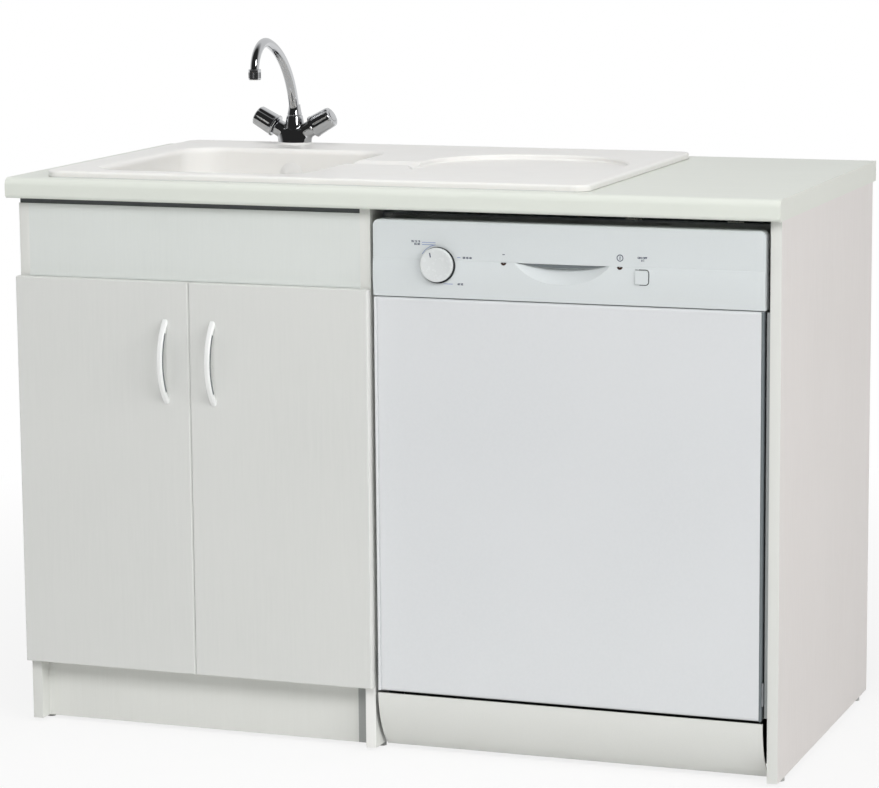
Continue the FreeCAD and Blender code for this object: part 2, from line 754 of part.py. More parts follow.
def make_hinges(side, edge):
    """Two cups with their pins on the door, and two arms with their plates on the carcass."""
    cups = []
    arms = []
    pivot_x = f"{edge} + hinge_pivot_in" if side == "left" else f"{edge} - hinge_pivot_in"
    cup_x = f"{edge} + hinge_edge + cup_radius" if side == "left" else f"{edge} - hinge_edge - cup_radius"
    leg_in = "(board + hinge_plate_thick)"
    for level in HINGE_LEVELS:
        shell = rod("cup_shell", "cup_radius", "cup_depth + cup_wall", cup_x,
                    f"{DOOR_BACK} - cup_depth - cup_wall", level, "y")
        flange = box("cup_flange", f"{cup_x} - cup_flange_width / 2", DOOR_BACK,
                     f"{level} - cup_flange_length / 2", "cup_flange_width", "cup_flange", "cup_flange_length")
        hollow = rod("cup_hollow", "cup_radius - cup_wall", "cup_depth + cup_flange", cup_x,
                     f"{DOOR_BACK} - cup_depth", level, "y")
        dish = cut("cup_dish", fuse("cup_blank", [shell, flange]), [hollow])
        pin = rod("cup_pin", "hinge_pin_radius", "hinge_pin_length", pivot_x, PIVOT_PLANE,
                  f"{level} - hinge_pin_length / 2")
        cups.append(fuse("cup", [dish, pin]))
        plate = box("hinge_plate", inward(edge, side, "board", "hinge_plate_thick"), f"{FRONT} + hinge_plate_inset",
                    f"{level} - hinge_plate_width / 2", "hinge_plate_thick", "hinge_plate_length",
                    "hinge_plate_width")
        leg_front = f"({PIVOT_PLANE} - hinge_arm_thick / 2)"
        low = f"{level} - hinge_arm_width / 2"
        leg = box("hinge_leg", inward(edge, side, leg_in, "hinge_arm_thick"), leg_front, low, "hinge_arm_thick",
                  f"{FRONT} + hinge_plate_inset + hinge_plate_length - {leg_front}", "hinge_arm_width")
        reach = f"({leg_in} + hinge_arm_thick - hinge_pivot_in)"
        link = box("hinge_link", inward(edge, side, "hinge_pivot_in", reach), leg_front, low, reach,
                   "hinge_arm_thick", "hinge_arm_width")
        eye = rod("hinge_eye", "hinge_eye_radius", "hinge_arm_width", pivot_x, PIVOT_PLANE, low)
        bore = rod("hinge_bore", "hinge_pin_radius + hinge_pin_clear", "hinge_arm_width", pivot_x, PIVOT_PLANE, low)
        arms.append(cut("hinge_arm", fuse("hinge_arm_blank", [plate, leg, link, eye]), [bore]))
    keep(group(f"{side}_hinge_cups", cups))
    keep(group(f"{side}_hinge_arms", arms))


for door_side, hinge_edge_x in (("left", LEFT), ("right", BAY_LEFT)):
    make_door(door_side, hinge_edge_x)
    make_handle(door_side, hinge_edge_x)
    make_hinges(door_side, hinge_edge_x)

buffers = []
for buffer_x in (f"{LEFT} + {DOOR_WIDTH} - handle_inset", f"{BAY_LEFT} - {DOOR_WIDTH} + handle_inset"):
    for buffer_z in (f"{DOOR_BOTTOM} + door_floor_lap / 2", f"{DOOR_TOP} - fascia_lap / 2"):
        buffers.append(rod("buffer", "buffer_radius", "door_standoff - buffer_clear", buffer_x, FRONT, buffer_z,
                           "front"))
keep(group("door_buffers", buffers))

# Inset sink: a moulded tray with one bowl, a dished drainer and a ledge for the tap

sink = body("sink", SINK_LEFT, SINK_FRONT, "worktop_height")
rim = sketch(sink, "XY")
outline(rim, rounded("0", "0", SINK_LENGTH, SINK_DEPTH, "sink_corner"))
extrude(sink, "Pad", rim, "rim_height")
round_edges(sink, "rim_under_round", lambda edge: lies_at(edge, "Z", 0))
skirt = sketch(sink, "XY")
outline(skirt, rounded("rim_lap", "rim_lap", f"({SINK_LENGTH} - rim_lap)", f"({SINK_DEPTH} - rim_lap)",
                       "(sink_corner - cutout_clear)"))
extrude(sink, "Pad", skirt, "sink_skirt", flip=True)
BOWL_RIGHT = f"(bowl_left + {BOWL_WIDTH})"
BOWL_BACK = f"(bowl_front + {BOWL_LENGTH})"
bowl_shell = sketch(sink, "XY")
outline(bowl_shell, rounded("(bowl_left - bowl_wall)", "(bowl_front - bowl_wall)",
                            f"({BOWL_RIGHT} + bowl_wall)", f"({BOWL_BACK} + bowl_wall)",
                            "(bowl_corner + bowl_wall)"))
extrude(sink, "Pad", bowl_shell, "bowl_depth - rim_height + bowl_wall", flip=True)
bowl_space = sketch(sink, "XY", "rim_height")
outline(bowl_space, rounded("bowl_left", "bowl_front", BOWL_RIGHT, BOWL_BACK, "bowl_corner"))
extrude(sink, "Pocket", bowl_space, "bowl_depth")
rim_top = number("rim_height")


def inside_rim(edge):
    """True for an edge at the rim's top that keeps clear of its outer edge."""
    limits = edge.BoundBox
    edge_room = number("rim_lap")
    across = limits.XMin > edge_room and limits.XMax < number(f"{SINK_LENGTH} - rim_lap")
    along = limits.YMin > edge_room and limits.YMax < number(f"{SINK_DEPTH} - rim_lap")
    return lies_at(edge, "Z", rim_top) and across and along


round_edges(sink, "bowl_edge_round", inside_rim)
bowl_floor = number("rim_height - bowl_depth")
round_edges(sink, "bowl_floor_round", lambda edge: lies_at(edge, "Z", bowl_floor))
shell_floor = bowl_floor - number("bowl_wall")
round_edges(sink, "bowl_floor_round + bowl_wall", lambda edge: lies_at(edge, "Z", shell_floor))
drainer_x = f"({BOWL_RIGHT} + drainer_gap)"
drainer = sketch(sink, "XY", "rim_height")
outline(drainer, rounded(drainer_x, "drainer_front", f"({SINK_LENGTH} - drainer_right)",
                         f"({SINK_DEPTH} - drainer_back)", "drainer_corner"))
extrude(sink, "Pocket", drainer, "drainer_sink")
drainer_floor = number("rim_height - drainer_sink")
round_edges(sink, "drainer_floor_round", lambda edge: lies_at(edge, "Z", drainer_floor))
round_edges(sink, "rim_round", lambda edge: lies_at(edge, "Z", rim_top))
trough = sketch(sink, "YZ", f"{BOWL_RIGHT} - rim_round")
ring(trough, f"{SINK_DEPTH} - channel_from_back", "rim_height + channel_radius - channel_depth", "channel_radius")
extrude(sink, "Pocket", trough, "drainer_gap + 2 * rim_round", flip=True)
openings = sketch(sink, "XY", "rim_height - bowl_depth")
ring(openings, f"bowl_left + {BOWL_WIDTH} / 2", f"bowl_front + {BOWL_LENGTH} / 2", "waste_hole")
extrude(sink, "Pocket", openings, "bowl_wall")
tap_hole = sketch(sink, "XY", "rim_height")
ring(tap_hole, "tap_from_left", f"{SINK_DEPTH} - tap_from_back", "tap_shank_radius + waste_clear")
extrude(sink, "Pocket", tap_hole, "rim_height + sink_skirt")
overflow_hole = sketch(sink, "XZ", f"-({BOWL_BACK} + bowl_wall)")
ring(overflow_hole, f"bowl_left + {BOWL_WIDTH} / 2", "rim_height - overflow_drop", "overflow_bore")
extrude(sink, "Pocket", overflow_hole, "bowl_wall", flip=True)
keep(sink)

overflow = body("overflow_grille", WASTE_X, f"{SINK_FRONT} + {BOWL_BACK}",
                f"{RIM_TOP} - overflow_drop", "front")
revolve(overflow, [
    ("0", "0"),
    ("overflow_radius", "0"),
    ("overflow_radius", "overflow_thick / 2"),
    ("overflow_radius - overflow_thick", "overflow_thick"),
    ("0", "overflow_thick"),
])
slots = sketch(overflow, "XY")
for slot_step in (-1, 0, 1):
    slot_mid = f"{slot_step} * overflow_radius / 2"
    outline(slots, rectangle(f"{slot_mid} - overflow_thick / 2", "-overflow_bore / 2",
                             f"{slot_mid} + overflow_thick / 2", "overflow_bore / 2"))
extrude(overflow, "Pocket", slots, "overflow_thick", flip=True)
keep(overflow)

# Waste: flange and lift-out basket in the bowl, bottle trap and pipe below it

flange = body("waste_flange", WASTE_X, WASTE_Y, BOWL_FLOOR)
NECK = "(waste_hole - waste_clear)"
revolve(flange, [
    (f"{NECK} - waste_wall", "waste_flange_thick"),
    (f"{NECK} - waste_wall", "-waste_body_drop + waste_wall"),
    ("trap_neck", "-waste_body_drop + waste_wall"),
    ("trap_neck", "-waste_body_drop"),
    (NECK, "-waste_body_drop"),
    (NECK, "0"),
    ("waste_flange_radius", "0"),
    ("waste_flange_radius - waste_flange_thick", "waste_flange_thick"),
])
keep(flange)

BASKET = f"({NECK} - waste_wall - basket_clear)"
basket = body("strainer_basket", WASTE_X, WASTE_Y, BOWL_FLOOR)
revolve(basket, [
    ("0", "-basket_drop"),
    (f"{BASKET} - basket_wall", "-basket_drop"),
    (BASKET, "-basket_drop + basket_wall"),
    (BASKET, "waste_flange_thick"),
    (f"{BASKET} + waste_wall", "waste_flange_thick"),
    (f"{BASKET} + waste_wall", "waste_flange_thick + basket_wall"),
    (f"{BASKET} - basket_wall", "waste_flange_thick + basket_wall"),
    (f"{BASKET} - basket_wall", "-basket_drop + basket_wall"),
    ("basket_knob_root", "-basket_drop + basket_wall"),
    ("basket_knob_tip", "waste_flange_thick + basket_wall"),
    ("0", "waste_flange_thick + basket_wall"),
])
sieve = sketch(basket, "XY", "-basket_drop")
ring(sieve, f"{BASKET} / 2", "0", "sieve_hole")
sieve_cut = extrude(basket, "Pocket", sieve, "basket_wall", flip=True)
sieve_ring = basket.newObject("PartDesign::PolarPattern", "sieve_ring")
sieve_ring.Originals = [sieve_cut]
sieve_ring.Axis = (sieve, ["N_Axis"])
sieve_ring.Angle = 360
sieve_ring.Occurrences = 8
basket.Tip = sieve_ring
keep(basket)

trap = body("bottle_trap", WASTE_X, WASTE_Y, f"{BOWL_FLOOR} - waste_body_drop")
revolve(trap, [
    ("0", "-trap_drop"),
    ("trap_radius - trap_round", "-trap_drop"),
    ("trap_radius", "-trap_drop + trap_round"),
    ("trap_radius", "-trap_shoulder"),
    ("trap_neck + waste_wall", "-trap_neck_drop"),
    ("trap_neck + waste_wall", "0"),
    ("trap_neck", "0"),
    ("trap_neck", "-trap_neck_drop"),
    ("trap_radius - waste_wall", "-trap_shoulder"),
    ("trap_radius - waste_wall", "-trap_drop + trap_round"),
    ("trap_radius - waste_wall - trap_round", "-trap_drop + waste_wall"),
    ("0", "-trap_drop + waste_wall"),
])
keep(trap)

PIPE_Z = f"({BOWL_FLOOR} - waste_body_drop - waste_pipe_rise)"
PIPE_START = f"({WASTE_Y} + trap_radius + waste_clear)"
pipe_run = f"({BACK} - {PIPE_START})"
pipe_outside = rod("pipe_outside", "waste_pipe_radius", pipe_run, WASTE_X, PIPE_START, PIPE_Z, "y")
pipe_inside = rod("pipe_inside", "waste_pipe_radius - waste_wall", pipe_run, WASTE_X, PIPE_START, PIPE_Z, "y")
keep(cut("waste_pipe", pipe_outside, [pipe_inside]))

# Two-handle mixer tap with a swan-neck spout

tap_core = body("tap_core", TAP_X, TAP_Y, RIM_TOP)
revolve(tap_core, [
    ("0", "-tap_shank_drop"),
    ("tap_shank_radius", "-tap_shank_drop"),
    ("tap_shank_radius", "tap_mid_height"),
    ("tap_neck_radius", "tap_mid_height"),
    ("tap_neck_radius", "tap_neck_shoulder"),
    ("tap_top_radius", "tap_body_height"),
    ("0", "tap_body_height"),
])

# The casting widens from its foot into two wings, one to each valve
sections = []
for across, deep, height in (("tap_base_across", "tap_base_deep", "0"),
                             ("tap_mid_across", "tap_mid_deep", "tap_mid_height"),
                             ("tap_wing_across", "tap_wing_deep", "tap_wing_height")):
    oval = doc.addObject("Part::Ellipse", "tap_section")
    oval.setExpression("MajorRadius", live(across))
    oval.setExpression("MinorRadius", live(deep))
    sections.append(place(oval, TAP_X, TAP_Y, f"{RIM_TOP} + {height}"))
casting = doc.addObject("Part::Loft", "tap_casting")
casting.Sections = sections
casting.Solid = True


def tilted(piece, side, along):
    """Lay a piece's Z along a tap arm, out from the body's middle by a distance."""
    sign = 1 if side == "right" else -1
    angle = 90 - number("tap_arm_tilt")
    piece.Placement = Placement(Vector(), Rotation(Vector(0, 1, 0), sign * angle))
    piece.setExpression("Placement.Base.x", live(f"{TAP_X} + {sign} * ({along}) * cos(tap_arm_tilt)"))
    piece.setExpression("Placement.Base.y", live(TAP_Y))
    piece.setExpression("Placement.Base.z", live(f"{RIM_TOP} + tap_arm_rise + ({along}) * sin(tap_arm_tilt)"))
    return piece


tap_pieces = [tap_core, casting]
for arm_side in ("left", "right"):
    arm = doc.addObject("Part::Cone", "tap_arm")
    arm.setExpression("Radius1", live("tap_arm_root"))
    arm.setExpression("Radius2", live("tap_arm_end"))
    arm.setExpression("Height", live("tap_arm_length - tap_arm_start"))
    stem = doc.addObject("Part::Cylinder", "tap_stem")
    stem.setExpression("Radius", live("tap_stem_radius"))
    stem.setExpression("Height", live("tap_stem_length"))
    tap_pieces.append(tilted(arm, arm_side, "tap_arm_start"))
    tap_pieces.append(tilted(stem, arm_side, "tap_arm_length"))
keep(fuse("tap_body", tap_pieces))

for handle_name, arm_side in (("hot_handle", "left"), ("cold_handle", "right")):
    grip = tilted(doc.addObject("PartDesign::Body", handle_name), arm_side, "tap_arm_length + tap_gap")
    revolve(grip, [
        ("0", "tap_stem_length"),
        ("tap_stem_radius + tap_clear", "tap_stem_length"),
        ("tap_stem_radius + tap_clear", "0"),
        ("tap_flange_radius", "0"),
        ("tap_flange_radius", "tap_flange_thick"),
        ("tap_handle_radius", "tap_flange_thick"),
        ("tap_handle_tip", "tap_handle_length - tap_handle_round", "left", "tap_handle_round"),
        ("tap_handle_tip - tap_handle_round", "tap_handle_length"),
        ("tap_cap_radius", "tap_handle_length"),
        ("tap_cap_radius - tap_cap_bevel", "tap_handle_length + tap_cap_bevel"),
        ("0", "tap_handle_length + tap_cap_bevel"),
    ])
    flute = sketch(grip, "XY", "tap_flange_thick")
    ring(flute, "tap_handle_radius + tap_flute_radius - tap_flute_depth", "0", "tap_flute_radius")
    groove = extrude(grip, "Pocket", flute, "tap_handle_length - tap_flange_thick", flip=True)
    flutes = grip.newObject("PartDesign::PolarPattern", "flutes")
    flutes.Originals = [groove]
    flutes.Axis = (flute, ["N_Axis"])
    flutes.Angle = 360
    flutes.Occurrences = 8
    grip.Tip = flutes
    keep(grip)

spout = body("tap_spout", TAP_X, TAP_Y, f"{RIM_TOP} + tap_body_height + tap_gap")
CREST_Y = "(spout_sweep * (cos(spout_crest) - cos(spout_lean)))"
CREST_Z = "(spout_root + spout_sweep * (sin(spout_crest) - sin(spout_lean)))"
TIP_Y = f"({CREST_Y} - spout_hook * (1 + cos(spout_crest)))"
TIP_Z = f"({CREST_Z} - spout_hook * sin(spout_crest))"
neck_line = sketch(spout, "YZ")
outline(neck_line, [
    ("0", "spout_root", "left", "spout_sweep"),
    (CREST_Y, CREST_Z, "left", "spout_hook"),
    (TIP_Y, TIP_Z),
], closed=False)
tube = sketch(spout, "XY", "spout_root")
tube.AttachmentOffset = Placement(Vector(), Rotation(Vector(1, 0, 0), number("spout_lean")))
tube.setExpression("AttachmentOffset.Rotation.Angle", live("spout_lean"))
ring(tube, "0", "0", "spout_radius")
ring(tube, "0", "0", "spout_bore")
neck = spout.newObject("PartDesign::AdditivePipe", "spout_neck")
neck.Profile = tube
neck.Spine = (neck_line, ["Edge1", "Edge2"])
revolve(spout, [
    ("0", "0"),
    ("spout_collar_radius", "0"),
    ("spout_collar_radius", "spout_collar_height / 3"),
    ("spout_radius + spout_root", "spout_collar_height"),
    ("0", "spout_collar_height"),
])
keep(spout)

aerator = body("spout_aerator", TAP_X, f"{TAP_Y} + {TIP_Y}",
               f"{RIM_TOP} + tap_body_height + tap_gap + {TIP_Z} - aerator_height")
revolve(aerator, [
    ("aerator_radius - aerator_wall * 2", "0"),
    ("aerator_radius - aerator_wall", "0"),
    ("aerator_radius", "aerator_wall"),
    ("aerator_radius", "aerator_height - aerator_wall"),
    ("aerator_radius - aerator_wall", "aerator_height"),
    ("spout_bore", "aerator_height"),
    ("spout_bore", "aerator_wall * 2"),
    ("aerator_radius - aerator_wall * 2", "aerator_wall * 2"),
])
keep(aerator)

fixing = body("tap_fixing", TAP_X, TAP_Y, "worktop_height - sink_skirt - tap_nut_height")
hexagon = sketch(fixing, "XY")
outline(hexagon, [(f"tap_nut_radius * cos({60 * corner})", f"tap_nut_radius * sin({60 * corner})")
                  for corner in range(6)])
ring(hexagon, "0", "0", "tap_shank_radius + tap_clear")
extrude(fixing, "Pad", hexagon, "tap_nut_height")
keep(fixing)

# Dishwasher housing: casing sheets, tub, seal, base tray, feet and kick plate

CASING_DEPTH = f"({DW_BACK} - {TUB_FRONT})"
CASING_HEIGHT = f"({DW_TOP} - dw_floor)"
sheets = [
    box("casing_side", f"{BAY_MID} - {DW_HALF}", TUB_FRONT, "dw_floor", "dw_sheet", CASING_DEPTH, CASING_HEIGHT),
    box("casing_side", f"{BAY_MID} + {DW_HALF} - dw_sheet", TUB_FRONT, "dw_floor", "dw_sheet", CASING_DEPTH,
        CASING_HEIGHT),
    box("casing_back", f"{BAY_MID} - {DW_HALF} + dw_sheet", f"{DW_BACK} - dw_sheet", "dw_floor + dw_tray_wall",
        f"2 * ({DW_HALF} - dw_sheet)", "dw_sheet", f"{CASING_HEIGHT} - dw_tray_wall"),
    box("casing_top", f"{BAY_MID} - {DW_HALF} + dw_sheet", TUB_FRONT, f"{DW_TOP} - dw_sheet",
        f"2 * ({DW_HALF} - dw_sheet)", f"{CASING_DEPTH} - dw_sheet", "dw_sheet"),
]
keep(group("dw_casing", sheets))

straps = []
for strap_step in (1, 2):
    strap = body("fixing_strap", f"{BAY_RIGHT} - strap_inset * {strap_step} + strap_inset / 2", TUB_FRONT, DW_TOP)
    step_line = sketch(strap, "YZ")
    outline(step_line, [
        ("0", "0"),
        ("strap_leg", "0"),
        ("strap_leg", "dw_top_gap - strap_thick"),
        ("2 * strap_leg", "dw_top_gap - strap_thick"),
        ("2 * strap_leg", "dw_top_gap"),
        ("strap_leg - strap_thick", "dw_top_gap"),
        ("strap_leg - strap_thick", "strap_thick"),
        ("0", "strap_thick"),
    ])
    extrude(strap, "Pad", step_line, "strap_width")
    straps.append(strap)
keep(group("dw_fixing_straps", straps))

tub = body("dw_tub", BAY_MID, TUB_FRONT, TUB_UNDER)
TUB_HEIGHT = f"({TUB_TOP} - {TUB_UNDER})"
TUB_DEPTH = f"({TUB_BACK} - {TUB_FRONT})"
tub_block = sketch(tub, "XZ")
outline(tub_block, rounded(f"(-{TUB_HALF})", "0", TUB_HALF, TUB_HEIGHT, "dw_tub_corner"))
extrude(tub, "Pad", tub_block, TUB_DEPTH, flip=True)
tub_flange = sketch(tub, "XZ")
outline(tub_flange, rectangle(f"-({DW_HALF} - dw_sheet)", "0", f"({DW_HALF} - dw_sheet)",
                              f"{DW_TOP} - dw_sheet - {TUB_UNDER}"))
extrude(tub, "Pad", tub_flange, "dw_flange", flip=True)
tub_space = sketch(tub, "XZ")
outline(tub_space, rounded(f"(dw_tub_wall - {TUB_HALF})", "dw_tub_wall", f"({TUB_HALF} - dw_tub_wall)",
                           f"({TUB_HEIGHT} - dw_tub_wall)", "(dw_tub_corner - dw_tub_wall)"))
extrude(tub, "Pocket", tub_space, f"{TUB_DEPTH} - dw_tub_wall")
sump_hole = sketch(tub, "XY")
ring(sump_hole, "0", f"{TUB_MID} - {TUB_FRONT}", "sump_radius + sump_clear")
extrude(tub, "Pocket", sump_hole, "dw_tub_wall", flip=True)
keep(tub)

seal = body("dw_tub_seal", BAY_MID, TUB_FRONT, TUB_UNDER)
seal_face = sketch(seal, "XZ")
outline(seal_face, rounded(f"(-{TUB_HALF})", "0", TUB_HALF, TUB_HEIGHT, "dw_tub_corner"))
outline(seal_face, rounded(f"(dw_seal_width - {TUB_HALF})", "dw_seal_width", f"({TUB_HALF} - dw_seal_width)",
                           f"({TUB_HEIGHT} - dw_seal_width)", "(dw_tub_corner - dw_seal_width)"))
extrude(seal, "Pad", seal_face, "dw_seal_space - dw_seal_gap")
keep(seal)

tray = body("dw_base_tray", BAY_MID, f"{DW_FRONT} + dw_tray_front", "dw_floor")
TRAY_HALF = f"({DW_HALF} - dw_sheet)"
TRAY_DEPTH = f"({DW_BACK} - dw_sheet - {DW_FRONT} - dw_tray_front)"
tray_floor = sketch(tray, "XY")
outline(tray_floor, rectangle(f"-{TRAY_HALF}", "0", TRAY_HALF, TRAY_DEPTH))
extrude(tray, "Pad", tray_floor, "dw_tray_wall")
tray_walls = sketch(tray, "XY")
WALL_HALF = f"({TRAY_HALF} - dw_tray_side)"
WALL_BACK = f"({TRAY_DEPTH} - dw_tub_back_gap)"
outline(tray_walls, rectangle(f"-{WALL_HALF}", "0", WALL_HALF, WALL_BACK))
outline(tray_walls, rectangle(f"dw_tray_wall - {WALL_HALF}", "dw_tray_wall", f"{WALL_HALF} - dw_tray_wall",
                              f"{WALL_BACK} - dw_tray_wall"))
extrude(tray, "Pad", tray_walls, f"{TUB_UNDER} - dw_floor")
keep(tray)

feet = []
for foot_side in (-1, 1):
    for foot_y in (f"{DW_FRONT} + dw_tray_front + dw_foot_inset", f"{DW_BACK} - dw_foot_inset"):
        foot_x = f"{BAY_MID} + {foot_side} * ({DW_HALF} - dw_foot_inset)"
        pad = rod("foot_pad", "dw_foot_radius", "dw_foot_pad", foot_x, foot_y, "0")
        stem = rod("foot_stem", "dw_foot_stem", "dw_floor", foot_x, foot_y, "0")
        feet.append(fuse("foot", [pad, stem]))
keep(group("dw_feet", feet))

hinge_sides = []
for bracket_side, plate_x in ((-1, f"{BAY_MID} - {TRAY_HALF}"), (1, f"{BAY_MID} + {TRAY_HALF} - dw_bracket_thick")):
    plate = box("dw_hinge_plate", plate_x, f"{PIVOT_Y} - 2 * dw_pin_radius", f"{PIVOT_Z} - dw_bracket_height / 2",
                "dw_bracket_thick", "dw_bracket_length", "dw_bracket_height")
    pin_x = plate_x if bracket_side < 0 else f"{plate_x} + dw_bracket_thick - dw_pin_length - dw_bracket_thick"
    pin = rod("dw_hinge_pin", "dw_pin_radius", "dw_pin_length + dw_bracket_thick", pin_x, PIVOT_Y, PIVOT_Z, "x")
    hinge_sides.append(fuse("dw_hinge_side", [plate, pin]))
keep(group("dw_hinge_brackets", hinge_sides))

kick = body("dw_kickplate", PANEL_LEFT, DW_FRONT, "glide_height")
KICK_HEIGHT = "(dw_door_bottom - dw_kick_gap - glide_height)"
KICK_RADIUS = f"((dw_kick_recess^2 + {KICK_HEIGHT}^2) / (2 * dw_kick_recess))"


def kick_y(height, inset):
    """Depth of the kick plate's curve at a height, a distance in from its outer face."""
    return f"({KICK_RADIUS} - sqrt(({KICK_RADIUS} - {inset})^2 - ({KICK_HEIGHT} - {height})^2))"


kick_section = sketch(kick, "YZ")
outline(kick_section, [
    ("0", KICK_HEIGHT, "left", KICK_RADIUS),
    ("dw_kick_recess", "0"),
    (kick_y("0", "dw_kick_wall"), "0", "right", f"({KICK_RADIUS} - dw_kick_wall)"),
    ("dw_kick_wall", KICK_HEIGHT),
])
extrude(kick, "Pad", kick_section, PANEL_WIDTH)
for rib_x in ("dw_kick_rib_inset", f"{PANEL_WIDTH} - dw_kick_rib_inset"):
    rib_face = sketch(kick, "YZ", rib_x)
    rib_skin = "(dw_kick_wall / 2)"
    outline(rib_face, [
        (kick_y("dw_kick_rib_high", rib_skin), "dw_kick_rib_high", "left", f"({KICK_RADIUS} - {rib_skin})"),
        (kick_y("dw_kick_rib_low", rib_skin), "dw_kick_rib_low"),
        ("dw_tray_front", "dw_kick_rib_low"),
        ("dw_tray_front", "dw_kick_rib_high"),
    ])
    extrude(kick, "Pad", rib_face, "dw_kick_wall")
keep(kick)

# Dishwasher door: outer pan, inner liner and the control panel on top

PAN_HEIGHT = f"({PANEL_BOTTOM} - panel_seam - dw_door_bottom)"
pan = body("dw_door_panel", BAY_MID, DW_FRONT, "dw_door_bottom")
pan_face = sketch(pan, "XZ")
outline(pan_face, rectangle(f"-{DW_DOOR_WIDTH} / 2", "0", f"{DW_DOOR_WIDTH} / 2", PAN_HEIGHT))
extrude(pan, "Pad", pan_face, "dw_pan_depth", flip=True)
round_edges(pan, "dw_pan_round", lambda edge: lies_at(edge, "Y", 0))
pan_space = sketch(pan, "XZ", "-dw_pan_depth")
outline(pan_space, rectangle(f"dw_skin - {DW_DOOR_WIDTH} / 2", "dw_skin", f"{DW_DOOR_WIDTH} / 2 - dw_skin",
                             f"{PAN_HEIGHT} - dw_skin"))
extrude(pan, "Pocket", pan_space, "dw_pan_depth - dw_skin", flip=True)
pan_bores = sketch(pan, "YZ", f"-{DW_DOOR_WIDTH} / 2")
ring(pan_bores, "dw_pivot_in", "dw_pivot_rise", "dw_pin_radius + dw_pin_clear")
extrude(pan, "Pocket", pan_bores, DW_DOOR_WIDTH, flip=True)
keep(pan)

LINER_HALF = f"({TUB_HALF} - dw_liner_side + dw_seal_width / 2)"
LINER_BOTTOM = f"({PIVOT_Z} + dw_liner_rise)"
LINER_HEIGHT = f"({PANEL_TOP} - panel_top_round - {LINER_BOTTOM})"
liner = body("dw_door_liner", BAY_MID, f"{DW_FRONT} + dw_pan_depth", LINER_BOTTOM)
liner_face = sketch(liner, "XZ")
outline(liner_face, rounded(f"(-{LINER_HALF})", "0", LINER_HALF, LINER_HEIGHT, "dw_tub_corner"))
extrude(liner, "Pad", liner_face, "dw_liner_depth", flip=True)
liner_depth = number("dw_liner_depth")
round_edges(liner, "dw_liner_round", lambda edge: lies_at(edge, "Y", liner_depth))
liner_space = sketch(liner, "XZ")
outline(liner_space, rounded(f"(dw_skin - {LINER_HALF})", "dw_skin", f"({LINER_HALF} - dw_skin)",
                             f"({LINER_HEIGHT} - dw_skin)", "(dw_tub_corner - dw_skin)"))
extrude(liner, "Pocket", liner_space, "dw_liner_depth - dw_liner_round")
SOAP_LEFT = f"({BAY_MID} - soap_across)"
SOAP_BOTTOM = f"({LINER_BOTTOM} + soap_rise)"
soap_hole = sketch(liner, "XZ")
outline(soap_hole, rectangle("-soap_across", "soap_rise", "soap_width - soap_across", "soap_rise + soap_height"))
extrude(liner, "Pocket", soap_hole, "dw_liner_depth")
keep(liner)

soap_block = box("soap_block", SOAP_LEFT, f"{LINER_BACK} - soap_depth", SOAP_BOTTOM, "soap_width", "soap_depth",
                 "soap_height")
soap_space = box("soap_space", f"{SOAP_LEFT} + soap_wall", f"{LINER_BACK} - soap_depth + soap_wall",
                 f"{SOAP_BOTTOM} + soap_wall + soap_barrel * 2", "soap_width - 2 * soap_wall", "soap_depth",
                 "soap_height - 2 * soap_wall - soap_barrel * 2")
SOAP_PIN_Y = f"({LINER_BACK} + soap_barrel + soap_lid / 2)"
SOAP_PIN_Z = f"({SOAP_BOTTOM} + soap_barrel)"
soap_solids = [cut("soap_pot", soap_block, [soap_space])]
for lug_x in (SOAP_LEFT, f"{SOAP_LEFT} + soap_width - soap_lug"):
    lug = box("soap_lug_block", lug_x, f"{LINER_BACK} - soap_wall", SOAP_BOTTOM, "soap_lug",
              f"{SOAP_PIN_Y} + soap_barrel - {LINER_BACK} + soap_wall", "soap_barrel * 2")
    lug_bore = rod("soap_lug_bore", "soap_pin_radius + soap_pin_clear", "soap_lug", lug_x, SOAP_PIN_Y, SOAP_PIN_Z,
                   "x")
    soap_solids.append(cut("soap_lug_piece", lug, [lug_bore]))
keep(fuse("dw_detergent_box", soap_solids))

LID_LEFT = f"({SOAP_LEFT} + soap_lug + soap_lid_clear)"
LID_WIDTH = "(soap_width - 2 * soap_lug - 2 * soap_lid_clear)"
lid_plate = box("soap_lid_plate", LID_LEFT, f"{SOAP_PIN_Y} - soap_lid / 2", SOAP_PIN_Z, LID_WIDTH, "soap_lid",
                "soap_height - soap_barrel")
lid_barrel = rod("soap_lid_barrel", "soap_barrel - soap_lid_clear", LID_WIDTH, LID_LEFT, SOAP_PIN_Y, SOAP_PIN_Z,
                 "x")
lid_pin = rod("soap_lid_pin", "soap_pin_radius", "soap_width", SOAP_LEFT, SOAP_PIN_Y, SOAP_PIN_Z, "x")
lid_pull = box("soap_lid_pull", f"{SOAP_LEFT} + (soap_width - soap_pull_width) / 2",
               f"{SOAP_PIN_Y} + soap_lid / 2", f"{SOAP_BOTTOM} + soap_height - soap_pull_drop", "soap_pull_width",
               "soap_lid", "soap_pull_height")
keep(fuse("dw_detergent_lid", [lid_plate, lid_barrel, lid_pin, lid_pull]))

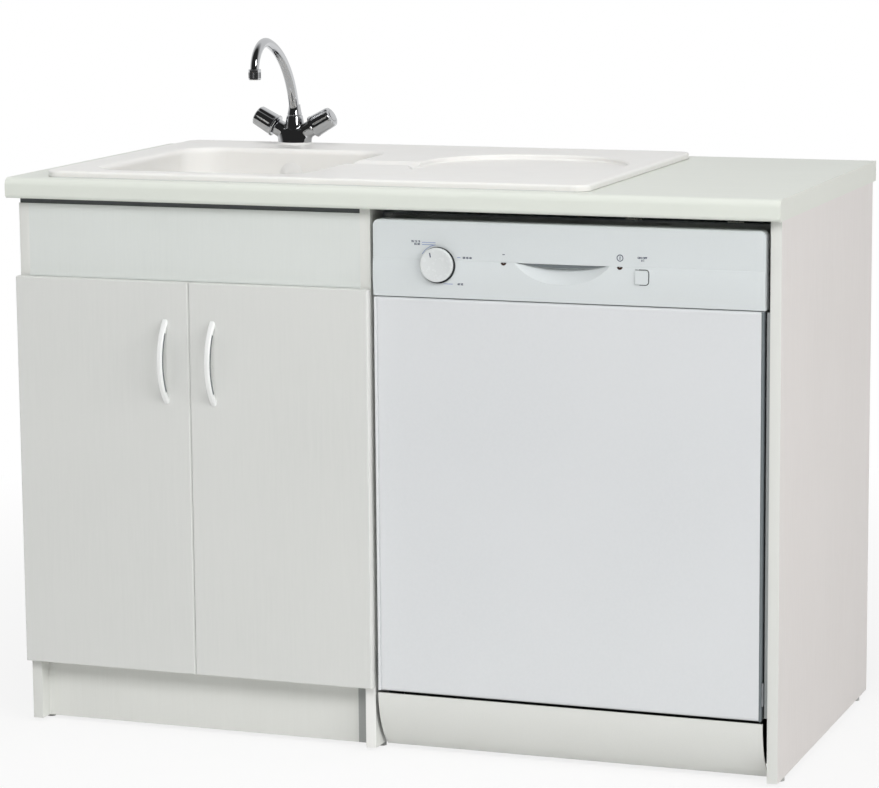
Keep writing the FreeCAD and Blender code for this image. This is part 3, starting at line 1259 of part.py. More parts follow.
panel_bar = body("panel_bar", PANEL_LEFT, DW_FRONT, PANEL_BOTTOM)
bar_section = sketch(panel_bar, "YZ")
outline(bar_section, [
    ("panel_step / 2", "0"),
    ("panel_depth", "0"),
    ("panel_depth", "panel_height"),
    ("panel_top_round", "panel_height", "left", "panel_top_round"),
    ("0", "panel_height - panel_top_round"),
    ("0", "panel_crease"),
    ("-panel_step", "panel_crease - panel_step / 2", "left", "panel_belly"),
])
extrude(panel_bar, "Pad", bar_section, PANEL_WIDTH)
panel_front = body("panel_front", PANEL_LEFT, f"{DW_FRONT} + panel_depth", PANEL_BOTTOM)
panel_shape = sketch(panel_front, "XZ")
outline(panel_shape, [
    ("0", "0"),
    (PANEL_WIDTH, "0"),
    (PANEL_WIDTH, "panel_height - panel_corner", "left", "panel_corner"),
    (f"{PANEL_WIDTH} - panel_corner", "panel_height"),
    ("panel_corner", "panel_height", "left", "panel_corner"),
    ("0", "panel_height - panel_corner"),
])
extrude(panel_front, "Pad", panel_shape, "panel_depth * 2")
panel_blank = doc.addObject("Part::Common", "panel_blank")
panel_blank.Base = panel_bar
panel_blank.Tool = panel_front

# The pull recess is a ball-shaped scoop cut off flat along the crease
SCOOP_ROUND = "(((scoop_width / 2)^2 + scoop_height^2) / (2 * scoop_height))"
SCOOP_RISE = f"({SCOOP_ROUND} - scoop_height)"
SCOOP_AHEAD = f"(({SCOOP_ROUND}^2 - {SCOOP_RISE}^2 - scoop_depth^2) / (2 * scoop_depth))"
ball = doc.addObject("Part::Sphere", "scoop_ball")
ball.setExpression("Radius", live(f"sqrt({SCOOP_ROUND}^2 + {SCOOP_AHEAD}^2)"))
place(ball, f"{PANEL_LEFT} + scoop_left + scoop_width / 2", f"{DW_FRONT} - panel_step - {SCOOP_AHEAD}",
      f"{CREASE} + {SCOOP_RISE}")
scoop_block = box("scoop_block", f"{PANEL_LEFT} + scoop_left", f"{DW_FRONT} - panel_depth",
                  f"{CREASE} - scoop_height - panel_step", "scoop_width", "panel_depth * 2",
                  "scoop_height + panel_step")
scoop = doc.addObject("Part::Common", "scoop")
scoop.Base = ball
scoop.Tool = scoop_block
KNOB_X = f"({PANEL_LEFT} + knob_across)"
KNOB_Z = f"({CREASE} - knob_below_crease)"
shaft_hole = rod("shaft_hole", "knob_shaft + knob_clear", "panel_depth * 2", KNOB_X, f"{DW_FRONT} - panel_depth",
                 KNOB_Z, "y")
BUTTON_X = f"({PANEL_LEFT} + button_across)"
BUTTON_Z = f"({CREASE} - button_below_crease)"
BUTTON_FRONT = f"({DW_FRONT} - panel_step * 2 - button_proud)"


def button_form(name, grow, start, length):
    """Push-button outline, with its two right-hand corners rounded, carried inward."""
    form = body(name, BUTTON_X, start, BUTTON_Z)
    face = sketch(form, "XZ")
    half_width = f"(button_width / 2 + {grow})"
    half_height = f"(button_height / 2 + {grow})"
    outline(face, [
        (f"-{half_width}", f"-{half_height}"),
        (f"{half_width} - button_corner", f"-{half_height}", "left", "button_corner"),
        (half_width, f"button_corner - {half_height}"),
        (half_width, f"{half_height} - button_corner", "left", "button_corner"),
        (f"{half_width} - button_corner", half_height),
        (f"-{half_width}", half_height),
    ])
    extrude(form, "Pad", face, length, flip=True)
    return form


BUTTON_LENGTH = "(button_proud + panel_step * 2 + button_depth)"
keep(button_form("dw_power_button", "0", BUTTON_FRONT, BUTTON_LENGTH))
button_hole = button_form("button_hole", "button_clear", BUTTON_FRONT,
                          f"{BUTTON_LENGTH} + button_travel + button_clear")
lamp_holes = []
lamps = []
LAMP_FRONT = f"({DW_FRONT} - panel_step)"
for lamp_across in ("lamp_left_across", "lamp_right_across"):
    for name, made in (("lamp_hole", lamp_holes), ("lamp", lamps)):
        made.append(rod(name, "lamp_radius", "lamp_depth", f"{PANEL_LEFT} + {lamp_across}", LAMP_FRONT, CREASE, "y"))
keep(cut("dw_control_panel", panel_blank, [scoop, shaft_hole, button_hole] + lamp_holes))
keep(group("dw_indicator_lenses", lamps))

knob = body("dw_programme_knob", KNOB_X, f"{DW_FRONT} - knob_stand", KNOB_Z, "front")
revolve(knob, [
    ("0", "-knob_shaft_length"),
    ("knob_shaft", "-knob_shaft_length"),
    ("knob_shaft", "0"),
    ("knob_radius - knob_under", "0"),
    ("knob_radius", "knob_under"),
    ("knob_radius", "knob_height - knob_round", "left", "knob_round"),
    ("knob_radius - knob_round", "knob_height"),
    ("0", "knob_height"),
])
mark = sketch(knob, "XY", "knob_height")
mark.AttachmentOffset = Placement(Vector(), Rotation(Vector(0, 0, 1), number("knob_mark_turn")))
mark.setExpression("AttachmentOffset.Rotation.Angle", live("knob_mark_turn"))
MARK_END = "(knob_radius - knob_mark_inset)"
outline(mark, rectangle("-knob_mark_width / 2", f"{MARK_END} - knob_mark_length", "knob_mark_width / 2", MARK_END))
extrude(knob, "Pocket", mark, "knob_mark_depth")
keep(knob)

# Inside the tub: racks on rollers and rails, cutlery basket, spray arms, sump and pump


def grid(width, height, gap, wire):
    """Flat welded grid standing on the XY plane: a plate one wire thick with evenly spaced windows."""
    face = [Part.makePolygon([Vector(0, 0, 0), Vector(width, 0, 0), Vector(width, height, 0), Vector(0, height, 0),
                              Vector(0, 0, 0)])]
    columns = max(int(width / gap), 1)
    rows = max(int(height / gap), 1)
    step_x = (width - wire) / columns
    step_y = (height - wire) / rows
    for column in range(columns):
        for row_step in range(rows):
            low = Vector(wire + column * step_x, wire + row_step * step_y, 0)
            high = low + Vector(step_x - wire, step_y - wire, 0)
            face.append(Part.makePolygon([low, Vector(high.x, low.y, 0), high, Vector(low.x, high.y, 0), low]))
    return Part.Face(face, "Part::FaceMakerBullseye").extrude(Vector(0, 0, wire))


RACK_HALF = f"({TUB_HALF} - dw_tub_wall - rack_side_gap)"
RACK_FRONT = f"({TUB_FRONT} + rack_front_gap)"
RACK_DEPTH = f"({TUB_BACK} - dw_tub_wall - rack_back_gap - {RACK_FRONT})"


def make_rack(name, level, wall_height):
    """Open wire basket: a floor grid and four wall grids standing on it."""
    wire = number("rack_wire")
    gap = number("rack_pitch")
    width = 2 * number(RACK_HALF)
    depth = number(RACK_DEPTH)
    height = number(wall_height)
    upright = Rotation(Vector(1, 0, 0), 90)
    sideways = Rotation(Vector(0, 0, 1), 90).multiply(upright)
    solids = [grid(width, depth, gap, wire)]
    for wall_y in (wire, depth):
        wall = grid(width, height, gap, wire)
        wall.Placement = Placement(Vector(0, wall_y, wire), upright)
        solids.append(wall)
    for wall_x in (0, width - wire):
        wall = grid(depth - 2 * wire, height, gap, wire)
        wall.Placement = Placement(Vector(wall_x, wire, wire), sideways)
        solids.append(wall)
    rack = doc.addObject("Part::Feature", name)
    rack.Shape = Part.Compound(solids)
    place(rack, f"{BAY_MID} - {RACK_HALF}", RACK_FRONT, level)
    keep(rack)


make_rack("dw_lower_rack", LOWER_RACK, "lower_rack_height")
make_rack("dw_upper_rack", UPPER_RACK, "upper_rack_height")

rollers = []
runners = []
for level in (LOWER_RACK, UPPER_RACK):
    roller_z = f"{level} + roller_radius"
    for wall_side in (-1, 1):
        wall_x = f"{BAY_MID} + {wall_side} * {RACK_HALF}"
        low_x = f"{wall_x} + rack_wire / 2" if wall_side > 0 else f"{wall_x} - rack_wire / 2 - roller_width"
        for roller_y in (f"{RACK_FRONT} + roller_inset", f"{RACK_FRONT} + {RACK_DEPTH} - roller_inset"):
            wheel = rod("roller_wheel", "roller_radius", "roller_width", low_x, roller_y, roller_z, "x")
            stub_x = wall_x if wall_side > 0 else f"{wall_x} - rack_wire / 2"
            stub = rod("roller_stub", "roller_axle", "rack_wire / 2", stub_x, roller_y, roller_z, "x")
            rollers.append(fuse("roller", [wheel, stub]))
        rail_low = wall_x if wall_side > 0 else f"{BAY_MID} - {TUB_HALF} + dw_tub_wall"
        runners.append(box("runner", rail_low, f"{RACK_FRONT}", f"{level} - rack_rail", "rack_side_gap", RACK_DEPTH,
                           "rack_rail"))
keep(group("dw_rack_rollers", rollers))
keep(group("dw_rack_rails", runners))

cutlery_block = box("cutlery_block", f"{BAY_MID} + {RACK_HALF} - cutlery_inset - cutlery_width",
                    f"{RACK_FRONT} + cutlery_inset", f"{LOWER_RACK} + rack_wire", "cutlery_width", "cutlery_length",
                    "cutlery_height")
cells = []
for cell in range(3):
    cell_width = "((cutlery_width - 4 * cutlery_wall) / 3)"
    cells.append(box("cutlery_cell", f"{BAY_MID} + {RACK_HALF} - cutlery_inset - cutlery_width + cutlery_wall"
                     f" + {cell} * ({cell_width} + cutlery_wall)", f"{RACK_FRONT} + cutlery_inset + cutlery_wall",
                     f"{LOWER_RACK} + rack_wire + cutlery_wall", cell_width, "cutlery_length - 2 * cutlery_wall",
                     "cutlery_height"))
keep(cut("dw_cutlery_basket", cutlery_block, cells))

ARM_FLOOR = "(dw_tub_floor + post_shoulder_rise + arm_gap)"
FEED_Y = f"({TUB_BACK} - dw_tub_wall - feed_radius - feed_gap)"
ARM_REACH = f"({FEED_Y} - feed_radius - arm_sweep_gap - {TUB_MID})"


def make_spray_arm(name, level):
    """Tapered spray arm with jets and a hub that turns on a post."""
    spray = body(name, BAY_MID, TUB_MID, level)
    plan = sketch(spray, "XY", "arm_hub_height")
    shoulder = f"({ARM_REACH} - arm_tip_round)"
    tip = "(arm_tip_width / 2)"
    inner_tip = "(arm_tip_width / 2 - arm_tip_round)"
    outline(plan, [
        (shoulder, f"-{tip}", "left", "arm_tip_round"),
        (ARM_REACH, f"-{inner_tip}"),
        (ARM_REACH, inner_tip, "left", "arm_tip_round"),
        (shoulder, tip),
        ("0", "arm_root_width / 2"),
        (f"-{shoulder}", tip, "left", "arm_tip_round"),
        (f"-{ARM_REACH}", inner_tip),
        (f"-{ARM_REACH}", f"-{inner_tip}", "left", "arm_tip_round"),
        (f"-{shoulder}", f"-{tip}"),
        ("0", "-arm_root_width / 2"),
    ])
    extrude(spray, "Pad", plan, "arm_thick")
    hub = sketch(spray, "XY")
    ring(hub, "0", "0", "arm_hub_radius")
    extrude(spray, "Pad", hub, "arm_hub_height")
    bore = sketch(spray, "XY")
    ring(bore, "0", "0", "post_radius + arm_bore_clear")
    extrude(spray, "Pocket", bore, "arm_hub_height + arm_thick", flip=True)
    jets = sketch(spray, "XY", "arm_hub_height")
    for jet in range(1, 5):
        for sign in (-1, 1):
            ring(jets, f"{sign} * (arm_jet_pitch * {jet} + arm_hub_radius)", "0", "arm_jet_radius")
    extrude(spray, "Pocket", jets, "arm_thick", flip=True)
    keep(spray)


make_spray_arm("dw_lower_spray_arm", ARM_FLOOR)
UPPER_ARM = f"({UPPER_RACK} - feed_drop - arm_thick - arm_hub_height)"
make_spray_arm("dw_upper_spray_arm", UPPER_ARM)

FEED_TOP = f"({UPPER_RACK} - feed_radius - feed_gap)"
riser = rod("feed_riser", "feed_radius", f"{FEED_TOP} - dw_tub_floor", BAY_MID, FEED_Y, "dw_tub_floor")
crossing = rod("feed_crossing", "feed_radius", f"{FEED_Y} - {TUB_MID}", BAY_MID, TUB_MID, FEED_TOP, "y")
feed_end = rod("feed_end", "post_shoulder", f"{FEED_TOP} - {UPPER_ARM} - arm_hub_height - arm_thick - arm_gap",
               BAY_MID, TUB_MID, f"{UPPER_ARM} + arm_hub_height + arm_thick + arm_gap")
feed_post = rod("feed_post", "post_radius", f"{FEED_TOP} - {UPPER_ARM} + arm_gap", BAY_MID, TUB_MID,
                f"{UPPER_ARM} - arm_gap")
feed_nut = rod("feed_nut", "post_shoulder", "arm_hub_height", BAY_MID, TUB_MID,
               f"{UPPER_ARM} - arm_gap - arm_hub_height")
feed_knee = doc.addObject("Part::Sphere", "feed_knee")
feed_knee.setExpression("Radius", live("feed_radius"))
place(feed_knee, BAY_MID, FEED_Y, FEED_TOP)
keep(fuse("dw_spray_feed", [riser, crossing, feed_end, feed_post, feed_nut, feed_knee]))

sump = body("dw_sump", BAY_MID, TUB_MID, "dw_tub_floor")
revolve(sump, [
    ("0", "-sump_depth"),
    ("sump_radius", "-sump_depth"),
    ("sump_radius", "0"),
    ("sump_radius + sump_lip", "0"),
    ("sump_radius + sump_lip", "sump_lip_thick"),
    ("sump_radius - sump_wall", "sump_lip_thick"),
    ("sump_radius - sump_wall", "sump_wall - sump_depth"),
    ("post_shoulder", "sump_wall - sump_depth"),
    ("post_shoulder", "post_shoulder_rise"),
    ("post_radius", "post_shoulder_rise"),
    ("post_radius", "post_shoulder_rise + arm_hub_height + arm_thick + 2 * arm_gap"),
    ("0", "post_shoulder_rise + arm_hub_height + arm_thick + 2 * arm_gap"),
])
keep(sump)

PUMP_Z = "(dw_tub_floor - pump_drop)"
PUMP_X = f"({BAY_MID} + sqrt(sump_radius^2 - pump_radius^2))"
pump_barrel = rod("pump_barrel", "pump_radius", "pump_length", PUMP_X, TUB_MID, PUMP_Z, "x")
pump_bite = rod("pump_bite", "sump_radius + sump_clear", "sump_depth * 2", BAY_MID, TUB_MID,
                "dw_tub_floor - 2 * sump_depth")
keep(cut("dw_circulation_pump", pump_barrel, [pump_bite]))

# Every piece has to be sound before any file is written

doc.recompute()
failed = [item.Name for item in doc.Objects if {"Invalid", "Error"} & set(item.State)]
if failed:
    raise RuntimeError(f"features that did not build: {failed}")
unsound = [item.Label for item in nodes if item.Shape.isNull() or not item.Shape.isValid()]
if unsound:
    raise RuntimeError(f"shapes that are not sound: {unsound}")
os.makedirs("parts", exist_ok=True)
for item in nodes:
    item.Shape.exportStep(f"parts/{item.Label}.step")
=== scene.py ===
"""Studio scene of a kitchen base unit: a two-door sink cabinet and a dishwasher under one worktop.

Sizes in the classes are millimetres, as on a drawing. Meshes are metres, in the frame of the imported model:
+X to the right along the worktop, +Y from the doors toward the wall, +Z up from the floor.
"""
from __future__ import annotations

import json
import logging
import math
from collections.abc import Sequence
from dataclasses import dataclass
from enum import Enum

import bmesh
import bpy
import numpy as np
from mathutils import Matrix, Vector

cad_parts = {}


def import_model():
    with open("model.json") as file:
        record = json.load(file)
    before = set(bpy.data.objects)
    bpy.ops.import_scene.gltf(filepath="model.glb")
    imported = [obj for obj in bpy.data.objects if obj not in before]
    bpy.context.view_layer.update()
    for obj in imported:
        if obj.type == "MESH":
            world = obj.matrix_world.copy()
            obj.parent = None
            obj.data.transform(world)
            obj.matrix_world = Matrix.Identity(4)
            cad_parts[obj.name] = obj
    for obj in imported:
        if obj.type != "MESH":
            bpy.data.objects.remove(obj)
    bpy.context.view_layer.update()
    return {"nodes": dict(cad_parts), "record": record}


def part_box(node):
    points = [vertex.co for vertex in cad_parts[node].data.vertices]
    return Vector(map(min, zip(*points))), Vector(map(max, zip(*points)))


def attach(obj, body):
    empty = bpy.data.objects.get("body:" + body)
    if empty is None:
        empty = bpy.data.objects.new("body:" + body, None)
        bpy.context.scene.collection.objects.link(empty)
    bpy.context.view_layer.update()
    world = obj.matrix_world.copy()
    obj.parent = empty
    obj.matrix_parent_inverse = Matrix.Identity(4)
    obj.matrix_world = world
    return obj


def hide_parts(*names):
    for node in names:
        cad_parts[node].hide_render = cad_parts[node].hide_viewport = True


Point = Sequence[float]
Pair = tuple[float, float]
Triple = tuple[float, float, float]
Quadruple = tuple[float, float, float, float]

log = logging.getLogger("sink_unit")
MM = 0.001
RIGHTWARD = (1, 0, 0)
FORWARD = (0, -1, 0)
BACKWARD = (0, 1, 0)
UPWARD = (0, 0, 1)


# Materials

# A slow drift of tone over hand-wide patches, as on any large real surface
DRIFT_MM = 240
# Octaves of a grain, and the part of its range that moves the roughness
GRAIN_DETAIL = 3.0
GRAIN_SPAN = (0.3, 0.7)
LEAST_ROUGHNESS = 0.02
# Depth and tint of the light that scatters under a surface
SCATTER_MM = 6
SCATTER_TINT = (1.0, 0.95, 0.9)
WHITE = (1, 1, 1, 1)
# Sockets of the Mix node, which repeats its names for numbers and for colours
MIX_SHARE = 0
NUMBER_A = 2
NUMBER_B = 3
COLOUR_A = 6
COLOUR_B = 7
COLOUR_OUT = 2


def linear(hex_colour: str) -> Quadruple:
    """Turn an sRGB hex value into the linear colour that the shaders use.

    Args:
        hex_colour: Colour as "#RRGGBB".

    Returns:
        Linear red, green, blue and an alpha of one.
    """
    srgb = np.array([int(hex_colour[place:place + 2], 16) for place in (1, 3, 5)]) / 255
    rgb = np.where(srgb <= 0.04045, srgb / 12.92, ((srgb + 0.055) / 1.055) ** 2.4)
    return (*rgb.tolist(), 1.0)


def add_node(tree: bpy.types.NodeTree, kind: str, inputs: dict | None = None,
             **settings: object) -> bpy.types.Node:
    """Add a shader node with its settings, values and links.

    Args:
        tree: Node tree that gets the node.
        kind: Blender's name of the node type.
        inputs: Socket name or number to a value, or to the output socket that feeds it.
        settings: Node properties by name.

    Returns:
        The new node.
    """
    node = tree.nodes.new(kind)
    for name, value in settings.items():
        setattr(node, name, value)
    for socket, value in (inputs or {}).items():
        if isinstance(value, bpy.types.NodeSocket):
            tree.links.new(value, node.inputs[socket])
        else:
            node.inputs[socket].default_value = value
    return node


class Texture(Enum):
    """How a surface was made, which sets the pattern that it shows."""

    GRAINED = "ShaderNodeTexNoise"
    SPANGLED = "ShaderNodeTexVoronoi"


@dataclass(frozen=True)
class Finish:
    """One real material and its surface.

    Attributes:
        name: Common name of the material, which also names it in the file.
        colour: sRGB hex of the surface.
        shade: sRGB hex of the darker parts of its pattern.
        roughness: Middle roughness.
        grain_mm: Size of the pattern along X, Y and Z; a long side draws the pattern into lines.
        bump_mm: Depth of the pattern.
        swing: How far the pattern moves the roughness either way.
        texture: Kind of pattern.
        metallic: One for bare metal.
        ior: Index of refraction; a metal keeps the default.
        coat: Weight of a clear top layer.
        anisotropy: Stretch of the gloss on drawn metal.
        translucency: Share of light that scatters under the surface.
    """

    name: str
    colour: str
    shade: str
    roughness: float
    grain_mm: Triple
    bump_mm: float
    swing: float = 0.04
    texture: Texture = Texture.GRAINED
    metallic: float = 0.0
    ior: float = 1.5
    coat: float = 0.0
    anisotropy: float = 0.0
    translucency: float = 0.0

    def material(self) -> bpy.types.Material:
        """Build the shader once, with its pattern on object coordinates.

        Returns:
            The material, shared by every piece of this finish.
        """
        made = bpy.data.materials.get(self.name)
        if made:
            return made
        made = bpy.data.materials.new(self.name)
        made.use_nodes = True
        tree = made.node_tree
        shader = tree.nodes["Principled BSDF"]
        place = add_node(tree, "ShaderNodeTexCoord").outputs["Object"]
        scale = [1 / (size * MM) for size in self.grain_mm]
        space = add_node(tree, "ShaderNodeMapping", {"Vector": place, "Scale": scale}).outputs["Vector"]
        grain = add_node(tree, self.texture.value, {"Vector": space, "Scale": 1.0})
        height = grain.outputs["Color"]
        if self.texture is Texture.GRAINED:
            grain.inputs["Detail"].default_value = GRAIN_DETAIL
            height = grain.outputs["Fac"]
        drift = add_node(tree, "ShaderNodeTexNoise", {
            "Vector": place, "Scale": 1 / (DRIFT_MM * MM), "Detail": 1.0})
        blend = add_node(tree, "ShaderNodeMath", {0: height, 1: drift.outputs["Fac"]}, operation="MULTIPLY")
        tone = add_node(tree, "ShaderNodeMix", {
            MIX_SHARE: blend.outputs[0], COLOUR_A: linear(self.colour), COLOUR_B: linear(self.shade)},
            data_type="RGBA")
        gloss = add_node(tree, "ShaderNodeMapRange", {
            "Value": height, "From Min": GRAIN_SPAN[0], "From Max": GRAIN_SPAN[1],
            "To Min": max(self.roughness - self.swing, LEAST_ROUGHNESS),
            "To Max": self.roughness + self.swing})
        relief = add_node(tree, "ShaderNodeBump", {
            "Height": height, "Strength": 1.0, "Distance": self.bump_mm * MM})
        tree.links.new(tone.outputs[COLOUR_OUT], shader.inputs["Base Color"])
        tree.links.new(gloss.outputs["Result"], shader.inputs["Roughness"])
        tree.links.new(relief.outputs["Normal"], shader.inputs["Normal"])
        shader.inputs["Metallic"].default_value = self.metallic
        shader.inputs["IOR"].default_value = self.ior
        shader.inputs["Coat Weight"].default_value = self.coat
        shader.inputs["Anisotropic"].default_value = self.anisotropy
        shader.inputs["Subsurface Weight"].default_value = self.translucency
        shader.inputs["Subsurface Radius"].default_value = SCATTER_TINT
        shader.inputs["Subsurface Scale"].default_value = SCATTER_MM * MM
        return made


# Melamine paper pressed on chipboard: a satin face with a fine pearl and faint upright lines.
# The pearl is about 0.3 mm on the board and is drawn ten times as coarse so that it shows.
# The fascia's paper is a cooler white, the end panel's a warmer one, and the doors' a little greyer.
BOARD = Finish("melamine_board", "#E3E4E0", "#DADBD6", 0.42, (3, 3, 60), 0.02)
FASCIA_BOARD = Finish("melamine_fascia", "#DEE2DF", "#D5D9D6", 0.42, (3, 3, 60), 0.02)
END_BOARD = Finish("melamine_end_board", "#E6E1DE", "#DDD8D5", 0.42, (3, 3, 60), 0.02)
DOOR_BOARD = Finish("melamine_door", "#DBDCD9", "#D2D4D1", 0.40, (3, 3, 60), 0.02)
# High-pressure laminate bent round the front edge: semi-gloss with lines along its length.
# The lines are under a millimetre wide and are drawn at 6 mm so that they show.
LAMINATE = Finish("postformed_laminate", "#DFE3DB", "#DADED6", 0.34, (90, 6, 6), 0.003, swing=0.02)
# Extruded ABS strip on the cut ends of the worktop: plain, and a touch flatter than the laminate.
EDGE_STRIP = Finish("abs_edge_strip", "#E2E4DC", "#D9DBD2", 0.38, (2, 2, 2), 0.01)
# Moulded acrylic resin with a gel coat: deep white gloss with a slow wave.
SINK_RESIN = Finish("gel_coated_resin", "#EFEEEB", "#EAE9E6", 0.30, (40, 40, 40), 0.01, swing=0.02,
                    translucency=0.3)
# Silicone drawn along a joint by hand: a fine grey line, half dull.
SEALANT = Finish("grey_silicone", "#D4D5D3", "#CACBC9", 0.45, (4, 4, 4), 0.02)
# ABS edging glued on the cut edges of the boards, drawn whiter than their faces as painted light from the
# right, and smoother.
LIT_EDGE_BAND = Finish("painted_light_edge_band", "#F2F2EF", "#EBEBE8", 0.34, (2, 2, 40), 0.01)
# Melamine edging ironed on the outer panels: the tone and satin of the boards' own paper.
EDGE_DULL = Finish("melamine_edging", "#DFE0DC", "#D9DAD6", 0.42, (2, 2, 40), 0.01)
# Powder-lacquered zinc casting: white gloss with orange peel.
HANDLE_LACQUER = Finish("lacquered_zinc", "#F0F1F0", "#E6E8E7", 0.20, (4, 4, 4), 0.02, coat=0.3)
# Nickel plate on pressed steel: a warm mirror under a light haze.
NICKEL = Finish("nickel_plated_steel", "#C9C6BF", "#B4B1AA", 0.28, (6, 6, 6), 0.01, metallic=1.0)
# Polished brass with chrome plate: a mirror, with only a breath of haze.
CHROME = Finish("chrome_plate", "#C8C9CB", "#C2C4C6", 0.05, (30, 30, 30), 0.0, swing=0.02, metallic=1.0)
# Moulded polypropylene pipe: white with a waxy half gloss.
PIPE = Finish("white_polypropylene", "#E8E9E6", "#DCDEDA", 0.42, (3, 3, 3), 0.02)
# Foam cut in strips: dead matt, with open cells. The dark grey one under the worktop is partly painted shade
# of the gap there; the pale one is painted shade, a grey sheet in the gap beside the dishwasher.
FOAM_AND_GAP_SHADE = Finish("grey_foam_and_gap_shade", "#5E6162", "#525556", 0.85, (1.2, 1.2, 1.2), 0.05)
BAY_GAP_SHADE = Finish("painted_bay_shade", "#A6A9A9", "#9A9D9D", 0.85, (1.2, 1.2, 1.2), 0.05)
# Extruded rubber: near black, with hardly any gloss.
RUBBER = Finish("epdm_rubber", "#242526", "#1A1B1C", 0.70, (1.5, 1.5, 1.5), 0.03)
# Moulded polyethylene: pale grey and waxy.
GLIDE = Finish("grey_polyethylene", "#B9BAB8", "#AEAFAD", 0.50, (2, 2, 2), 0.02)
# Enamel fired on pressed steel: cool white with a shallow orange peel of about 4 mm.
ENAMEL = Finish("white_enamel", "#DDDFE1", "#D5D8DA", 0.22, (4, 4, 4), 0.015, coat=0.2)
# ABS from a spark-eroded mould: a fine even grain that softens the gloss.
# The grain is about 0.1 mm and is drawn at 1.6 mm so that it shows. The kick plate is a warmer white.
ABS = Finish("white_abs", "#D9DEDF", "#D1D6D7", 0.34, (1.6, 1.6, 1.6), 0.02)
KICK_ABS = Finish("white_abs_kick", "#E2E3DF", "#D9DAD6", 0.40, (1.6, 1.6, 1.6), 0.02)
# ABS from a polished mould: smooth, with a clear highlight round the rim of the knob.
KNOB_ABS = Finish("polished_abs", "#DCDFDF", "#D4D8D8", 0.26, (8, 8, 8), 0.01, coat=0.2)
# Hot-dip zinc on sheet: crystal patches a finger wide.
ZINC = Finish("galvanised_sheet", "#A9ADB0", "#8E9295", 0.45, (9, 9, 9), 0.0, texture=Texture.SPANGLED,
              metallic=1.0)
# Stainless sheet with a rolled, brushed face; the lines run across the tub.
# They are about 0.1 mm wide and are drawn at 1.2 mm so that they show.
STAINLESS = Finish("brushed_stainless", "#C3C4C4", "#A7A9A9", 0.30, (45, 1.2, 1.2), 0.01, metallic=1.0,
                   anisotropy=0.4)
# Drawn stainless rail: brighter than the sheet, with lines along its run, as coarse as those.
RAIL_STEEL = Finish("stainless_rail", "#BDBEBE", "#A6A8A8", 0.26, (1.2, 40, 1.2), 0.01, metallic=1.0,
                    anisotropy=0.3)
# Moulded polypropylene of the fittings in the tub: black or cool grey, half dull.
BLACK_PP = Finish("black_polypropylene", "#1E1F20", "#151617", 0.50, (2, 2, 2), 0.03)
GREY_PP = Finish("grey_polypropylene", "#A4A9AD", "#989DA1", 0.45, (2, 2, 2), 0.02)
# Nylon fused on wire: soft grey with a slight sag wave.
WIRE_NYLON = Finish("nylon_coated_wire", "#B9BEC2", "#AEB3B8", 0.38, (6, 6, 6), 0.02)
# Smoked polycarbonate: dark brown and smooth while its lamp is off.
LENS = Finish("smoked_polycarbonate", "#3A2016", "#2C1810", 0.32, (5, 5, 5), 0.0, ior=1.58)
# Screen-printed ink: thin, flat and matt on the panel.
INK = Finish("blue_screen_ink", "#7E8FC0", "#7385B6", 0.60, (1, 1, 1), 0.0)
INK_DARK = Finish("grey_screen_ink", "#50566A", "#474D60", 0.60, (1, 1, 1), 0.0)
# Painted shade: a matt mid grey on the plinth's right end, so that the end reads as a shaded recess.
PLINTH_END_SHADE = Finish("painted_recess_shade", "#A3A5A3", "#999B99", 0.55, (2, 2, 2), 0.02)
# Painted shade: a matt mid grey laid where shade falls, in the hand hold, beside the handles' bows and on the
# dishwasher door's right side, so that they read as depth.
SHADE_GREY = Finish("painted_shade_grey", "#70777A", "#666D70", 0.60, (2, 2, 2), 0.02)
# Painted shade: near black behind the knob and round the button, so that it reads as the dark gap round them.
SHADOW_GAP = Finish("painted_gap_shade", "#2A2D2F", "#222527", 0.55, (2, 2, 2), 0.02)

SLOT_FINISHES = {
    "white_board": BOARD,
    "door_board": DOOR_BOARD,
    "worktop_laminate": LAMINATE,
    "worktop_edge": EDGE_STRIP,
    "sink_white": SINK_RESIN,
    "handle_white": HANDLE_LACQUER,
    "hinge_steel": NICKEL,
    "tap_chrome": CHROME,
    "white_pipe": PIPE,
    "dark_rubber": RUBBER,
    "glide_plastic": GLIDE,
    "dw_white_metal": ENAMEL,
    "dw_white_plastic": ABS,
    "dw_grey_sheet": ZINC,
    "dw_stainless": STAINLESS,
    "dw_black_plastic": BLACK_PP,
    "dw_grey_plastic": GREY_PP,
    "dw_rack_coat": WIRE_NYLON,
    "dw_rail_steel": RAIL_STEEL,
    "lamp_lens": LENS,
}
NODE_FINISHES = {
    "dw_kickplate": KICK_ABS,
    # The seal's dark grey is partly painted shade of the gap under the worktop
    "worktop_seal": FOAM_AND_GAP_SHADE,
    "right_end_panel": END_BOARD,
    "fascia_rail": FASCIA_BOARD,
}


# Surfaces

# Points closer than this are one point of a mesh
MERGE_M = 1e-6


def box_mm(node: str) -> tuple[np.ndarray, np.ndarray]:
    """Lowest and highest corner of a CAD node, in millimetres."""
    low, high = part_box(node)
    return np.array(low) / MM, np.array(high) / MM


def quads(rows: int, columns: int, closed: bool) -> np.ndarray:
    """Corner numbers of the quads between neighbouring points of one grid.

    Args:
        rows: Rows of the grid.
        columns: Points in a row.
        closed: Whether each row runs round and joins its own start.

    Returns:
        Array of quads x 4 corner numbers.
    """
    row = np.arange(rows - 1)[:, None]
    column = np.arange(columns if closed else columns - 1)[None, :]
    beside = (column + 1) % columns
    corners = (row * columns + column, row * columns + beside, (row + 1) * columns + beside,
               (row + 1) * columns + column)
    return np.stack(np.broadcast_arrays(*corners), axis=-1).reshape(-1, 4)


